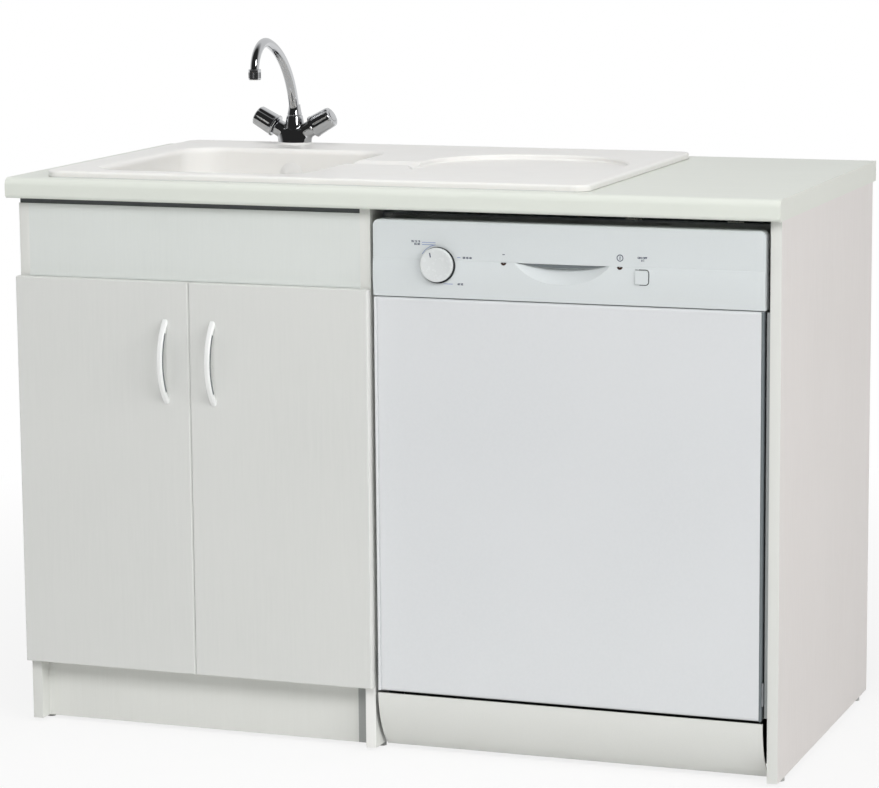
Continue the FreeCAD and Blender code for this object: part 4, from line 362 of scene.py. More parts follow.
def revolved(profile: np.ndarray, columns: int = 64) -> np.ndarray:
    """Turn a profile round the Z axis: each (radius, height) becomes a circle of points.

    Args:
        profile: Array of n x 2 radii and heights, from the bottom up.
        columns: Points round the axis.

    Returns:
        Grid of n x columns x 3 points.
    """
    turn = np.linspace(0, 2 * np.pi, columns, endpoint=False)
    radius, height = profile[:, :1], profile[:, 1:]
    return np.stack([radius * np.cos(turn), radius * np.sin(turn), height + 0 * turn], axis=-1)


def along_axis(grid: np.ndarray, origin: Point, axis: Point) -> np.ndarray:
    """Lay a grid's own Z axis along a direction, from an origin.

    Args:
        grid: Points whose last dimension is x, y, z.
        origin: Where the grid's own origin goes.
        axis: Direction of its Z axis.

    Returns:
        The moved points.
    """
    turn = Vector(UPWARD).rotation_difference(Vector(axis)).to_matrix()
    return grid @ np.array(turn).T + np.asarray(origin)


def tube(path: np.ndarray, radius: float | np.ndarray, across: Point, columns: int = 10) -> np.ndarray:
    """Round bar along a flat path: a circle square to the path at each of its points, closed at both ends.

    Args:
        path: Array of n x 3 points that lie in one plane.
        radius: Radius of the bar, or one radius for each point.
        across: Normal of the path's plane.
        columns: Points round the bar.

    Returns:
        Grid of (n + 2) x columns x 3 points.
    """
    run = np.gradient(path, axis=0)
    run /= np.linalg.norm(run, axis=1, keepdims=True)
    side = np.asarray(across, dtype=float)
    out = np.cross(run, side)
    turn = np.linspace(0, 2 * np.pi, columns, endpoint=False)[None, :, None]
    reach = np.reshape(radius, (-1, 1, 1))
    rings = path[:, None, :] + reach * (np.cos(turn) * out[:, None, :] - np.sin(turn) * side)
    first, last = (np.repeat(path[end][None, None, :], columns, axis=1) for end in (0, -1))
    return np.concatenate([first, rings, last])


def bent_path(corners: Sequence[Point], radius: float, steps: int = 5) -> np.ndarray:
    """Polyline with round bends: at each inner corner an arc leaves one run and meets the next.

    Args:
        corners: Corner points of the route.
        radius: Bend radius.
        steps: Points on each bend.

    Returns:
        Array of n x 3 points.
    """
    route = np.asarray(corners, dtype=float)
    pieces = [route[:1]]
    sweep = np.linspace(0, 1, steps)[:, None]
    for before, corner, after in zip(route, route[1:], route[2:]):
        back = (before - corner) / np.linalg.norm(before - corner)
        ahead = (after - corner) / np.linalg.norm(after - corner)
        start, end = corner + radius * back, corner + radius * ahead
        pieces.append((1 - sweep) ** 2 * start + 2 * sweep * (1 - sweep) * corner + sweep ** 2 * end)
    pieces.append(route[-1:])
    return np.concatenate(pieces)


def extruded(outline: np.ndarray, low: float, high: float, lying: bool = False) -> np.ndarray:
    """Bar: a closed outline carried along an axis, with both ends drawn in to a point.

    Args:
        outline: Array of n x 2 points round the bar, in X and Y, or in Y and Z of a lying bar.
        low: Where the bar starts.
        high: Where it ends.
        lying: Whether it runs along X; a bar runs up Z otherwise.

    Returns:
        Grid of 4 x n x 3 points.
    """
    middle = np.broadcast_to(outline.mean(axis=0), outline.shape)
    rows = [np.column_stack([ring, np.full(len(ring), level)])
            for ring, level in ((middle, low), (outline, low), (outline, high), (middle, high))]
    return np.roll(np.stack(rows), 1 if lying else 0, axis=-1)


def rounded_box(low: Point, high: Point, radius: float, steps: int = 4) -> np.ndarray:
    """Rectangle in X and Y with a quarter circle at each corner.

    Args:
        low: Lowest corner.
        high: Highest corner.
        radius: Corner radius.
        steps: Points on each corner.

    Returns:
        Array of n x 2 points, counter-clockwise.
    """
    turn = np.radians(np.linspace(0, 90, steps)[None, :] + np.arange(4)[:, None] * 90)
    sides = np.array([(1, 1), (0, 1), (0, 0), (1, 0)])
    middles = np.where(sides == 1, np.asarray(high) - radius, np.asarray(low) + radius)
    rim = middles[:, None, :] + radius * np.stack([np.cos(turn), np.sin(turn)], axis=-1)
    return rim.reshape(-1, 2)


def mounted(name: str, mesh: bpy.types.Mesh, finish: Finish, body: str) -> bpy.types.Object:
    """Dress a mesh, put it in the scene at the origin and let it ride on a body.

    Args:
        name: Name of the piece.
        mesh: Its mesh, with its place in it.
        finish: Finish of the whole piece.
        body: Body that it moves with.

    Returns:
        The new object.
    """
    mesh.materials.clear()
    mesh.materials.append(finish.material())
    made = bpy.data.objects.new(name, mesh)
    bpy.context.scene.collection.objects.link(made)
    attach(made, body)
    log.info("%s: %d faces on %s", name, len(mesh.polygons), body)
    return made


def piece(name: str, grids: Sequence[np.ndarray], finish: Finish, body: str, closed: bool = True,
          sharp_deg: float = 38.0, facing: Point = FORWARD) -> bpy.types.Object:
    """Join point grids into one mesh piece, dress it and let it ride on a body.

    Args:
        name: Name of the piece.
        grids: Grids of rows x columns x 3 points in metres.
        finish: Finish of the whole piece.
        body: Body that it moves with.
        closed: Whether the rows run round, as on a tube, or end, as on a strip.
        sharp_deg: Angle over which an edge stays crisp.
        facing: Side that an open strip turns its faces to.

    Returns:
        The new object, at the origin, with its place in its mesh.
    """
    faces = []
    start = 0
    for grid in grids:
        faces.append(quads(grid.shape[0], grid.shape[1], closed) + start)
        start += grid.shape[0] * grid.shape[1]
    points = np.concatenate([grid.reshape(-1, 3) for grid in grids])
    mesh = bpy.data.meshes.new(name)
    mesh.from_pydata(points, [], np.concatenate(faces))
    shell = bmesh.new()
    shell.from_mesh(mesh)
    bmesh.ops.remove_doubles(shell, verts=shell.verts, dist=MERGE_M)
    if closed:
        bmesh.ops.recalc_face_normals(shell, faces=shell.faces)
    else:
        shell.normal_update()
        away = [face for face in shell.faces if face.normal.dot(Vector(facing)) < 0]
        bmesh.ops.reverse_faces(shell, faces=away)
    shell.to_mesh(mesh)
    shell.free()
    mesh.polygons.foreach_set("use_smooth", np.ones(len(mesh.polygons), dtype=bool))
    mesh.set_sharp_from_angle(angle=math.radians(sharp_deg))
    return mounted(name, mesh, finish, body)


# Sub-assemblies


@dataclass
class BoardEdges:
    """Edging of the boards and doors, some with painted light; painted shade at the plinth's end, in the bay
    and beside the door handles.

    Attributes:
        crown_mm: How far the edging swells at its middle.
        inset_mm: How far a door's edging stops short of the door's faces and ends.
        cap_mm: Width of the painted shade strip on the plinth's right end.
        gap_mm: Gap that stays between the doors.
        strip_mm: Lap of the meeting strip on the left door, its insets from the door's front, back and ends,
            and its corner radius.
        cove_mm: Height and depth of the cove at the fascia's foot.
        cove_fit_mm: Gap of the cove over the doors, its stand before the fascia and its lap into it.
        bay_shade_mm: Width of the painted shade strip in the bay, where it starts and ends behind the
            dishwasher's front,
        and its corner radius.
        bay_shade_end_mm: How far that strip stays above the door's foot and under its top.
        bow_mm: Half chord and rise of the inner arc of a handle.
        shade_line_mm: Where the painted shade line starts and ends, outward from that arc.
        shade_line_deg: Where it starts and ends along that arc.
        shade_line_lift_mm: How far it stands off the handle.
        round_mm: Edge radius of a handle.
    """

    crown_mm: float = 0.4
    inset_mm: float = 0.5
    cap_mm: float = 21
    gap_mm: float = 0.6
    strip_mm: tuple[float, float, float, float, float] = (0.2, 1.2, 3, 1, 0.5)
    cove_mm: Pair = (12, 1.8)
    cove_fit_mm: Triple = (0.4, 0.1, 0.3)
    bay_shade_mm: Quadruple = (5.6, 7, 16, 1.5)
    bay_shade_end_mm: Pair = (4, 2)
    bow_mm: Pair = (52, 16.5)
    shade_line_mm: Pair = (0.4, 6.2)
    shade_line_deg: Pair = (-28, 28)
    shade_line_lift_mm: float = 0.12
    round_mm: float = 3

    def band(self, name: str, foot: Point, across: Point, out: Point, height: float, body: str,
             finish: Finish) -> None:
        """Edging strip: flat across the board's edge, swelling by one minus the fourth power of the offset.

        Args:
            name: Name of the piece.
            foot: Lower corner of the edge, in millimetres.
            across: Vector over the thickness of the board.
            out: Direction that the edge faces.
            height: Length of the strip.
            body: Body that carries the board.
            finish: Finish of the edging.
        """
        share = np.linspace(0, 1, 9)[None, :, None]
        rise = np.linspace(0, height, 3)[:, None, None]
        swell = self.crown_mm * (1 - (2 * share - 1) ** 4)
        flat = np.asarray(foot) + share * np.asarray(across)
        points = flat + swell * np.asarray(out) + rise * np.array(UPWARD)
        piece(name, [points * MM], finish, body, closed=False, facing=out)

    def bands(self) -> None:
        """Edge the boards that show their front edge, and the free side of the right door. The divider's
        edging and the door's carry painted light, and the plinth's end gets a strip of painted shade.
        """
        door_low, door_high = box_mm("right_door")
        for node, finish in (("left_side_panel", EDGE_DULL), ("right_end_panel", EDGE_DULL),
                             ("divider_panel", LIT_EDGE_BAND)):
            low, high = box_mm(node)
            top = door_low[2] if node == "divider_panel" else high[2]
            self.band(f"{node}_edging", low, (high[0] - low[0], 0, 0), FORWARD, top - low[2], "unit",
                      finish)
        low, high = box_mm("plinth_board")
        # Painted shade: a grey strip on the plinth's right end, so that the end reads as a recess
        self.band("plinth_end_shade", (high[0] - self.cap_mm, low[1], low[2]), (self.cap_mm, 0, 0), FORWARD,
                  high[2] - low[2], "unit", PLINTH_END_SHADE)
        thick, tall = door_high[1:] - door_low[1:] - 2 * self.inset_mm
        foot = (door_high[0], door_low[1] + self.inset_mm, door_low[2] + self.inset_mm)
        self.band("right_door_edging", foot, (0, thick, 0), RIGHTWARD, tall, "right_door",
                  LIT_EDGE_BAND)

    def meeting_strip(self) -> None:
        """Soft strip on the left door's free edge, which all but closes the gap between the doors."""
        low, high = box_mm("left_door")
        free = box_mm("right_door")[0][0] - self.gap_mm
        lap, front, back, end, radius = self.strip_mm
        outline = rounded_box((high[0] - lap, low[1] + front), (free, high[1] - back), radius)
        strip = extruded(outline, low[2] + end, high[2] - end)
        piece("door_meeting_strip", [strip * MM], DOOR_BOARD, "left_door")

    def fascia_cove(self) -> None:
        """Cove along the fascia's foot: a bar whose front comes forward with the square of the drop."""
        low, high = box_mm("fascia_rail")
        tall, deep = self.cove_mm
        gap, stand, lap = self.cove_fit_mm
        foot = box_mm("right_door")[1][2] + gap
        drop = np.linspace(0, 1, 9)
        front = np.column_stack([low[1] - stand - deep * drop ** 2, foot + tall * (1 - drop)])
        outline = np.concatenate([front, [(low[1] + lap, foot), (low[1] + lap, foot + tall)]])
        bar = extruded(outline, low[0], high[0], lying=True)
        piece("fascia_cove", [bar * MM], FASCIA_BOARD, "unit")

    def bay_strip(self) -> None:
        """Painted shade: a grey strip on the end panel, behind the gap beside the dishwasher's door."""
        low, high = box_mm("dw_door_panel")
        wall = box_mm("right_end_panel")[0][0]
        width, start, stop, radius = self.bay_shade_mm
        outline = rounded_box((wall - width, low[1] + start), (wall, low[1] + stop), radius)
        strip = extruded(outline, low[2] + self.bay_shade_end_mm[0], high[2] - self.bay_shade_end_mm[1])
        piece("bay_shade_strip", [strip * MM], BAY_GAP_SHADE, "unit")

    def liner(self, side: str) -> None:
        """Painted shade line of a bow handle: a grey ribbon along the inner arc, laid over the right flank's
        rounded edge.

        Args:
            side: Which door.
        """
        low, high = box_mm(f"{side}_handle")
        half, rise = self.bow_mm
        radius = (half ** 2 + rise ** 2) / (2 * rise)
        turn = np.radians(np.linspace(*self.shade_line_deg, 40))[:, None]
        out = np.linspace(*self.shade_line_mm, 8)[None, :]
        inset = self.round_mm - np.sqrt(self.round_mm ** 2 - np.clip(self.round_mm - out, 0, None) ** 2)
        hub = high[1] - rise + radius
        ribbon = np.stack([high[0] + self.shade_line_lift_mm - inset + 0 * turn,
                           hub - (radius + out) * np.cos(turn),
                           (low[2] + high[2]) / 2 + (radius + out) * np.sin(turn)], axis=-1)
        piece(f"{side}_handle_shade_line", [ribbon * MM], SHADE_GREY, f"{side}_door", closed=False,
              facing=RIGHTWARD)

    def build(self) -> None:
        """Make all the edging and the painted shade strips and lines."""
        self.bands()
        self.meeting_strip()
        self.fascia_cove()
        self.bay_strip()
        for side in ("left", "right"):
            self.liner(side)


@dataclass
class SinkTrim:
    """Cap of the overflow and the bead of sealant along the sink's front edge.

    Attributes:
        bead_mm: Radius of the bead, and height of its middle above the worktop.
        corner_mm: How far the bead stops short of the sink's corners.
        cap_mm: Rise of the cap.
    """

    bead_mm: Pair = (0.8, 0.2)
    corner_mm: float = 16
    cap_mm: float = 2.0

    def bead(self) -> None:
        """Round bead where the rim meets the worktop."""
        low, high = box_mm("sink")
        radius, lift = self.bead_mm
        level = box_mm("worktop")[1][2] + lift
        run = np.linspace(low[0] + self.corner_mm, high[0] - self.corner_mm, 12)
        path = np.column_stack([run, np.full_like(run, low[1]), np.full_like(run, level)])
        piece("sink_sealant", [tube(path, radius, UPWARD) * MM], SEALANT, "unit")

    def cap(self) -> None:
        """Overflow cap: a turned dome with one shallow step, facing the front."""
        low, high = box_mm("overflow_grille")
        radius = (high[0] - low[0]) / 2
        # Foot, bevel, step and crown, as radius and height
        profile = np.array([(0, 0), (radius, 0), (radius, 0.5), (radius - 1, 1.0), (radius * 0.72, 1.3),
                            (radius * 0.68, 1.7), (radius * 0.4, self.cap_mm), (0, self.cap_mm + 0.1)])
        middle = np.array([(low[0] + high[0]) / 2, high[1], (low[2] + high[2]) / 2]) * MM
        dome = along_axis(revolved(profile) * MM, middle, FORWARD)
        made = piece("overflow_cap", [dome], SINK_RESIN, "unit")
        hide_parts("overflow_grille")

    def build(self) -> None:
        """Make the bead and the cap."""
        self.bead()
        self.cap()


@dataclass
class WireRack:
    """Welded wire basket of the dishwasher, in the room of its CAD node.

    Attributes:
        node: CAD node that it stands for.
        wire_mm: Diameter of the cross wires.
        rim_mm: Diameter of the rim wire.
        pitch_mm: Spacing of the cross wires.
        bend_mm: Bend radius at the foot of the walls.
        corner_mm: Corner radius of the rims.
        tine_mm: Height of the plate tines.
        tine_rows: Number of tine rows.
        wire_sides: Points round a cross wire.
    """

    node: str
    wire_mm: float = 3.2
    rim_mm: float = 4.6
    pitch_mm: float = 30.0
    bend_mm: float = 14.0
    corner_mm: float = 30.0
    tine_mm: float = 0.0
    tine_rows: int = 0
    wire_sides: int = 8

    def rim(self, low: np.ndarray, high: np.ndarray, level: float) -> np.ndarray:
        """Closed wire round the basket at one level, from a bent path that meets its own start.

        Args:
            low: Lowest corner of the basket, in metres.
            high: Highest corner.
            level: Height of the wire.

        Returns:
            Grid of the wire's points.
        """
        middle = (low[0] + high[0]) / 2
        corners = [(middle, low[1]), (high[0], low[1]), (high[0], high[1]), (low[0], high[1]),
                   (low[0], low[1]), (middle, low[1])]
        path = bent_path([(x, y, level) for x, y in corners], self.corner_mm * MM)
        return tube(path, self.rim_mm * MM / 2, UPWARD)

    def spaced(self, low: float, high: float) -> np.ndarray:
        """Places of the wires between two walls, as near to the pitch as equal gaps allow."""
        return np.linspace(low, high, round((high - low) / (self.pitch_mm * MM)) + 1)[1:-1]

    def build(self) -> None:
        """Make the rims, the two sets of U-shaped wires and the tines, and hide the CAD grid."""
        edge = self.rim_mm * MM / 2
        low, high = (np.array(corner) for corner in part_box(self.node))
        low, high = low + edge, high - edge
        radius, bend, lift = self.wire_mm * MM / 2, self.bend_mm * MM, self.wire_mm * MM
        grids = [self.rim(low, high, level) for level in (high[2], (low[2] + high[2]) / 2)]
        along = self.spaced(low[1], high[1])
        for x in self.spaced(low[0], high[0]):
            route = [(x, low[1], high[2]), (x, low[1], low[2]), (x, high[1], low[2]), (x, high[1], high[2])]
            grids.append(tube(bent_path(route, bend), radius, RIGHTWARD, self.wire_sides))
        for y in along:
            route = [(low[0], y, high[2]), (low[0], y, low[2] + lift), (high[0], y, low[2] + lift),
                     (high[0], y, high[2])]
            grids.append(tube(bent_path(route, bend), radius, BACKWARD, self.wire_sides))
        for x in np.linspace(low[0], high[0], self.tine_rows + 2)[1:-1]:
            for y in along[len(along) // 3:]:
                tine = np.array([(x, y, low[2] + lift), (x, y, low[2] + lift + self.tine_mm * MM)])
                grids.append(tube(tine, radius, RIGHTWARD, self.wire_sides))
        made = piece(f"{self.node}_wires", grids, WIRE_NYLON, "unit")
        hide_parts(self.node)


@dataclass
class TubFittings:
    """Rinse-aid cap on the inner side of the dishwasher door, and the ribbed filter plate in the tub.

    Attributes:
        cap_mm: Radius and height of the cap.
        cap_offset_mm: Where the cap sits, from the middle of the detergent box.
        rim_mm: Width of the cap's rim that carries the grooves.
        flutes: Grooves round the cap.
        flute_points: Points round each groove.
        flute_share: Depth of a groove, as a share of the radius.
        grip_mm: Half width, height and half length of the bar across the cap.
        grip_seat_mm: How far the bar's foot lies under the cap's top.
        grip_round_mm: Corner radius of the bar.
        plate_mm: Inner and outer radius of the filter plate.
        plate_rise_mm: Middle height of the plate's face.
        plate_lip_mm: Width and height of the plate's outer lip.
        rib_mm: Spacing and height of its ribs.
    """

    cap_mm: Pair = (21, 5)
    cap_offset_mm: float = 105
    rim_mm: float = 2
    flutes: int = 24
    flute_points: int = 6
    flute_share: float = 0.018
    grip_mm: Triple = (3, 3.5, 13)
    grip_seat_mm: float = 1.6
    grip_round_mm: float = 1.2
    plate_mm: Pair = (36, 74)
    plate_rise_mm: float = 1.2
    plate_lip_mm: Pair = (0.4, 0.6)
    rib_mm: Pair = (3.2, 0.5)

    def cap(self) -> None:
        """Cap: a turned button whose rim swings with the cosine of the turn, and a bar to grip it by."""
        radius, height = self.cap_mm
        low, high = box_mm("dw_detergent_box")
        face = box_mm("dw_door_liner")[1][1]
        middle = np.array([(low[0] + high[0]) / 2 + self.cap_offset_mm, face, (low[2] + high[2]) / 2])
        # Foot in the liner, wall, bevelled rim and sunk top, as radius and height
        profile = np.array([(0, -0.5), (radius, -0.5), (radius, height - 1), (radius - 1.2, height),
                            (radius - 4, height), (radius - 5, height - 1.2), (0, height - 1.2)])
        columns = self.flute_points * self.flutes
        turn = np.linspace(0, 2 * np.pi, columns, endpoint=False)[None, :]
        grid = revolved(profile, columns)
        outer = np.hypot(grid[..., 0], grid[..., 1]) > radius - self.rim_mm
        swing = 1 + self.flute_share * np.cos(self.flutes * turn) * outer
        grid = grid * np.stack([swing, swing, np.ones_like(swing)], axis=-1)
        half, rise, reach = self.grip_mm
        foot = height - self.grip_seat_mm
        bar = extruded(rounded_box((-half, foot), (half, foot + rise), self.grip_round_mm), -reach, reach)
        shapes = [along_axis(grid * MM, middle * MM, BACKWARD), (bar + middle) * MM]
        piece("rinse_aid_cap", shapes, BLACK_PP, "dishwasher_door")

    def filter_plate(self) -> None:
        """Filter plate: a flat ring whose height swings with the cosine of the radius, in even ribs."""
        low, high = box_mm("dw_sump")
        inner, outer = self.plate_mm
        spacing, rise = self.rib_mm
        lip, step = self.plate_lip_mm
        radii = np.linspace(inner, outer, 100)
        ribs = self.plate_rise_mm + rise * np.cos(2 * np.pi * radii / spacing)
        ends = np.array([(outer + lip, step), (outer + lip, 0), (inner, 0)])
        profile = np.concatenate([np.column_stack([radii, ribs]), ends, [(radii[0], ribs[0])]])
        middle = np.array([(low[0] + high[0]) / 2, (low[1] + high[1]) / 2, high[2]])
        grid = revolved(profile, 72) * MM + middle * MM
        piece("filter_plate", [grid], STAINLESS, "unit")

    def build(self) -> None:
        """Make the cap and the plate."""
        self.cap()
        self.filter_plate()


@dataclass
class MixerTap:
    """Two-handle mixer: a winged casting, fluted handles and a swan-neck spout.

    Attributes:
        foot_mm: Half width and half depth of the casting at its foot.
        wing_mm: Half width and half depth of the casting under the valves.
        wing_rise_mm: Height of that section.
        flare: Power of the rise with which the casting widens.
        neck_mm: Radius and top of the neck under the spout.
        arm_mm: Radius of a valve arm, height that its axis starts from, and its start and end on that axis.
        tilt_deg: Tilt of the arms above level.
        melt_mm: Grain at which the parts of the casting melt together.
        ease_rounds: Rounds of smoothing after that.
        grip_mm: Flange radius, barrel radius, tip radius and length of a handle.
        button_mm: Profile of the button in a handle's tip, as radius and height from the tip.
        flutes: Number of flutes round a handle.
        flute_mm: Depth of a flute, and where the flutes start along the handle.
        grip_sides: Points round a handle.
        spout_mm: Radius of the spout at its foot, of its long sweep and of its hook.
        tip_mm: Radius of the spout at its tip.
        root_mm: Height of the spout's root in its collar.
        lean_deg: Lean of the spout where it leaves the neck.
        crest_deg: Angle at which the sweep turns into the hook.
        nose_deg: Angle at which the hook ends in the aerator.
        collar_mm: Foot radius of the collar, its wall round the spout, its height and its bevel.
        aerator_mm: Radius and height of the aerator.
        knurl_mm: Where the knurl starts and ends on the aerator, and its depth.
        knurl_teeth: Teeth of the knurl.
        seat_mm: Radius, height and flank width of the raised seat moulded in the sink's rim.
        seat_squash: Depth of the seat as a share of its width.
        gap_mm: Running gap at the moving parts.
    """

    foot_mm: Pair = (27, 23)
    wing_mm: Pair = (33, 15)
    wing_rise_mm: float = 25
    flare: float = 0.9
    neck_mm: Pair = (13, 47)
    arm_mm: Quadruple = (13.8, 10, 8, 37)
    tilt_deg: float = 29
    melt_mm: float = 0.8
    ease_rounds: int = 12
    grip_mm: Quadruple = (18.4, 17.6, 16.6, 38)
    button_mm: tuple[Pair, ...] = ((10.4, 0), (10, -0.7), (9.4, -0.7), (9, 0.8), (8, 1), (0, 1))
    flutes: int = 8
    flute_mm: Pair = (0.8, 5.5)
    grip_sides: int = 96
    spout_mm: Triple = (8.3, 145.5, 44)
    tip_mm: float = 7.0
    root_mm: float = 2
    lean_deg: float = 8
    crest_deg: float = 75
    nose_deg: float = 174
    collar_mm: Quadruple = (12, 1.2, 16, 0.6)
    aerator_mm: Pair = (10, 17)
    knurl_mm: Triple = (3.1, 12.1, 0.45)
    knurl_teeth: int = 36
    seat_mm: Triple = (34, 3, 6)
    seat_squash: float = 0.85
    gap_mm: float = 0.4

    def origin(self) -> np.ndarray:
        """Middle of the tap's foot on the sink rim, in metres."""
        low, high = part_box("tap_body")
        return np.array([(low.x + high.x) / 2, (low.y + high.y) / 2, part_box("sink")[1].z])

    def arm(self, sign: int) -> Triple:
        """Direction of the left (-1) or right (1) valve arm."""
        tilt = math.radians(self.tilt_deg)
        return sign * math.cos(tilt), 0.0, math.sin(tilt)

    def seat(self) -> None:
        """Seat: a low turned mound with a hollow flank, drawn in from front to back to stay on the rim."""
        radius, height, flank = self.seat_mm
        share = np.linspace(0, 1, 9)
        slope = np.column_stack([radius - flank * np.sqrt(share), height * share ** 1.6])
        top = height + 0.2
        profile = np.concatenate([[(0, -1), (radius, -1)], slope, [(radius - flank - 1.5, top), (0, top)]])
        grid = revolved(profile) * (1, self.seat_squash, 1)
        piece("tap_seat", [grid * MM + self.origin()], SINK_RESIN, "unit", sharp_deg=60)

    def casting(self) -> None:
        """Body: ovals that widen from foot to wings, joined to a neck and two arms and melted together."""
        rise = np.linspace(0, 1, 24)[:, None]
        turn = np.linspace(0, 2 * np.pi, 72, endpoint=False)
        wide, deep = (foot + (wing - foot) * rise ** self.flare
                      for foot, wing in zip(self.foot_mm, self.wing_mm))
        level = rise * self.wing_rise_mm + 0 * turn
        oval = np.stack([wide * np.cos(turn), deep * np.sin(turn), level], axis=-1)
        lids = [np.repeat(oval[end].mean(axis=0)[None, None, :], oval.shape[1], axis=1) for end in (0, -1)]
        radius, top = self.neck_mm
        # Root inside the casting, long taper and bevelled top, as radius and height
        neck = revolved(np.array([(0, 4), (radius + 4, 4), (radius + 3, top * 0.65), (radius, top - 1),
                                  (radius - 1, top), (0, top)]))
        grids = [np.concatenate([lids[0], oval, lids[1]]), neck]
        arm_radius, arm_rise, arm_start, arm_end = self.arm_mm
        barrel = revolved(np.array([(0, arm_start), (arm_radius, arm_start), (arm_radius - 0.6, arm_end - 1),
                                    (arm_radius - 1.6, arm_end), (0, arm_end)]))
        for sign in (-1, 1):
            grids.append(along_axis(barrel, (0, 0, arm_rise), self.arm(sign)))
        placed = [grid * MM + self.origin() for grid in grids]
        body = piece("tap_casting", placed, CHROME, "unit", sharp_deg=180)
        melt = body.modifiers.new("melt", "REMESH")
        melt.mode = "VOXEL"
        melt.voxel_size = self.melt_mm * MM
        melt.use_smooth_shade = True
        ease = body.modifiers.new("ease", "SMOOTH")
        ease.factor = 0.5
        ease.iterations = self.ease_rounds
        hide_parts("tap_body")

    def handle(self, name: str, sign: int) -> None:
        """Handle: a turned profile whose barrel radius dips at each flute by a cosine to the power 0.7.

        Args:
            name: CAD node and body of this handle.
            sign: -1 for the left arm and 1 for the right arm.
        """
        flange, barrel, tip, length = self.grip_mm
        depth, start = self.flute_mm
        foot = [(0, 0), (flange - 0.8, 0), (flange, 0.8), (flange, 2.8), (flange - 0.7, 3.5), (barrel, 3.8),
                (barrel, 5)]
        shank = zip(np.linspace(barrel, tip, 10), np.linspace(6, length - 4, 10))
        crown = [(tip - 0.4, length - 2.2), (tip - 1.4, length - 0.9), (tip - 3, length)]
        button = np.array(self.button_mm) + (0, length)
        profile = np.array([*foot, *shank, *crown, *button])
        grid = revolved(profile, self.grip_sides)
        turn = np.linspace(0, 2 * np.pi, self.grip_sides, endpoint=False)
        fluted = ((profile[:, 1] > start) & (profile[:, 0] > tip - 2))[:, None]
        dip = np.where(fluted, depth * np.clip(np.cos(self.flutes * turn), 0, 1) ** 0.7, 0)
        outline = np.maximum(profile[:, :1], MERGE_M)
        grid[..., :2] *= (1 - dip / outline)[..., None]
        axis = np.array(self.arm(sign))
        base = np.array([0, 0, self.arm_mm[1]]) + axis * (self.arm_mm[3] + self.gap_mm)
        placed = along_axis(grid, base, axis) * MM + self.origin()
        made = piece(f"{name}_grip", [placed], CHROME, name)
        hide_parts(name)

    def spout(self) -> None:
        """Spout: a tube along two tangent arcs, a long sweep and a tight hook, evenly tapered.

        Its collar narrows from the foot to the tube with the power 1.6 of the height that is left.
        """
        radius, sweep, hook = self.spout_mm
        lean, crest, nose = (math.radians(angle) for angle in (self.lean_deg, self.crest_deg, self.nose_deg))
        rise = np.linspace(lean, crest, 40)
        fall = np.linspace(crest, nose, 36)[1:]
        long_y = sweep * (np.cos(rise) - math.cos(lean))
        long_z = self.root_mm + sweep * (np.sin(rise) - math.sin(lean))
        hook_y = long_y[-1] + hook * (np.cos(fall) - math.cos(crest))
        hook_z = long_z[-1] + hook * (np.sin(fall) - math.sin(crest))
        run_y = np.append(long_y, hook_y)
        path = np.stack([np.zeros_like(run_y), run_y, np.append(long_z, hook_z)], axis=-1)
        foot, wall, tall, bevel = self.collar_mm
        share = np.linspace(0, 1, 12)
        waist = radius + wall + (foot - radius - wall) * (1 - share) ** 1.6
        radii = np.concatenate([[0, foot - bevel], waist, [0]])
        levels = np.concatenate([[0, 0], bevel + tall * share, [tall + 1]])
        collar = revolved(np.column_stack([radii, levels]))
        seat = self.origin() + np.array([0, 0, self.neck_mm[1] + self.gap_mm]) * MM
        taper = np.linspace(radius, self.tip_mm, len(path))
        neck = piece("swan_neck", [tube(path, taper, RIGHTWARD, 40) * MM + seat, collar * MM + seat], CHROME,
                     "spout")
        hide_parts("tap_spout")
        self.aerator(path[-1], seat)

    def aerator(self, tip: np.ndarray, seat: np.ndarray) -> None:
        """Aerator: a ring whose radius steps in and out with the knurl over its middle.

        Args:
            tip: End of the spout's path, in millimetres from the seat.
            seat: Where the spout stands, in metres.
        """
        radius, height = self.aerator_mm
        start, stop, depth = self.knurl_mm
        # Sunk sieve, bevelled foot, knurl between two close pairs of rings and bevelled top
        profile = np.array([(0, 2.5), (radius - 3, 2.5), (radius - 3, 0), (radius - 1.2, 0), (radius, 1.2),
                            (radius, start - 0.1), (radius, start + 0.1), (radius, stop - 0.1),
                            (radius, stop + 0.1), (radius, height - 1), (radius - 1, height), (0, height)])
        columns = 4 * self.knurl_teeth
        grid = revolved(profile, columns)
        knurled = ((profile[:, 1] > start) & (profile[:, 1] < stop) & (profile[:, 0] > radius - 0.5))[:, None]
        ripple = np.where(knurled & (np.arange(columns) % 4 < 2), depth, 0.0)
        grid[..., :2] *= (1 - ripple / radius)[..., None]
        placed = (grid + tip - (0, 0, height)) * MM + seat
        made = piece("aerator_ring", [placed], CHROME, "spout")
        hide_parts("spout_aerator")

    def build(self) -> None:
        """Make every part of the tap."""
        self.seat()
        self.casting()
        self.handle("hot_handle", -1)
        self.handle("cold_handle", 1)
        self.spout()


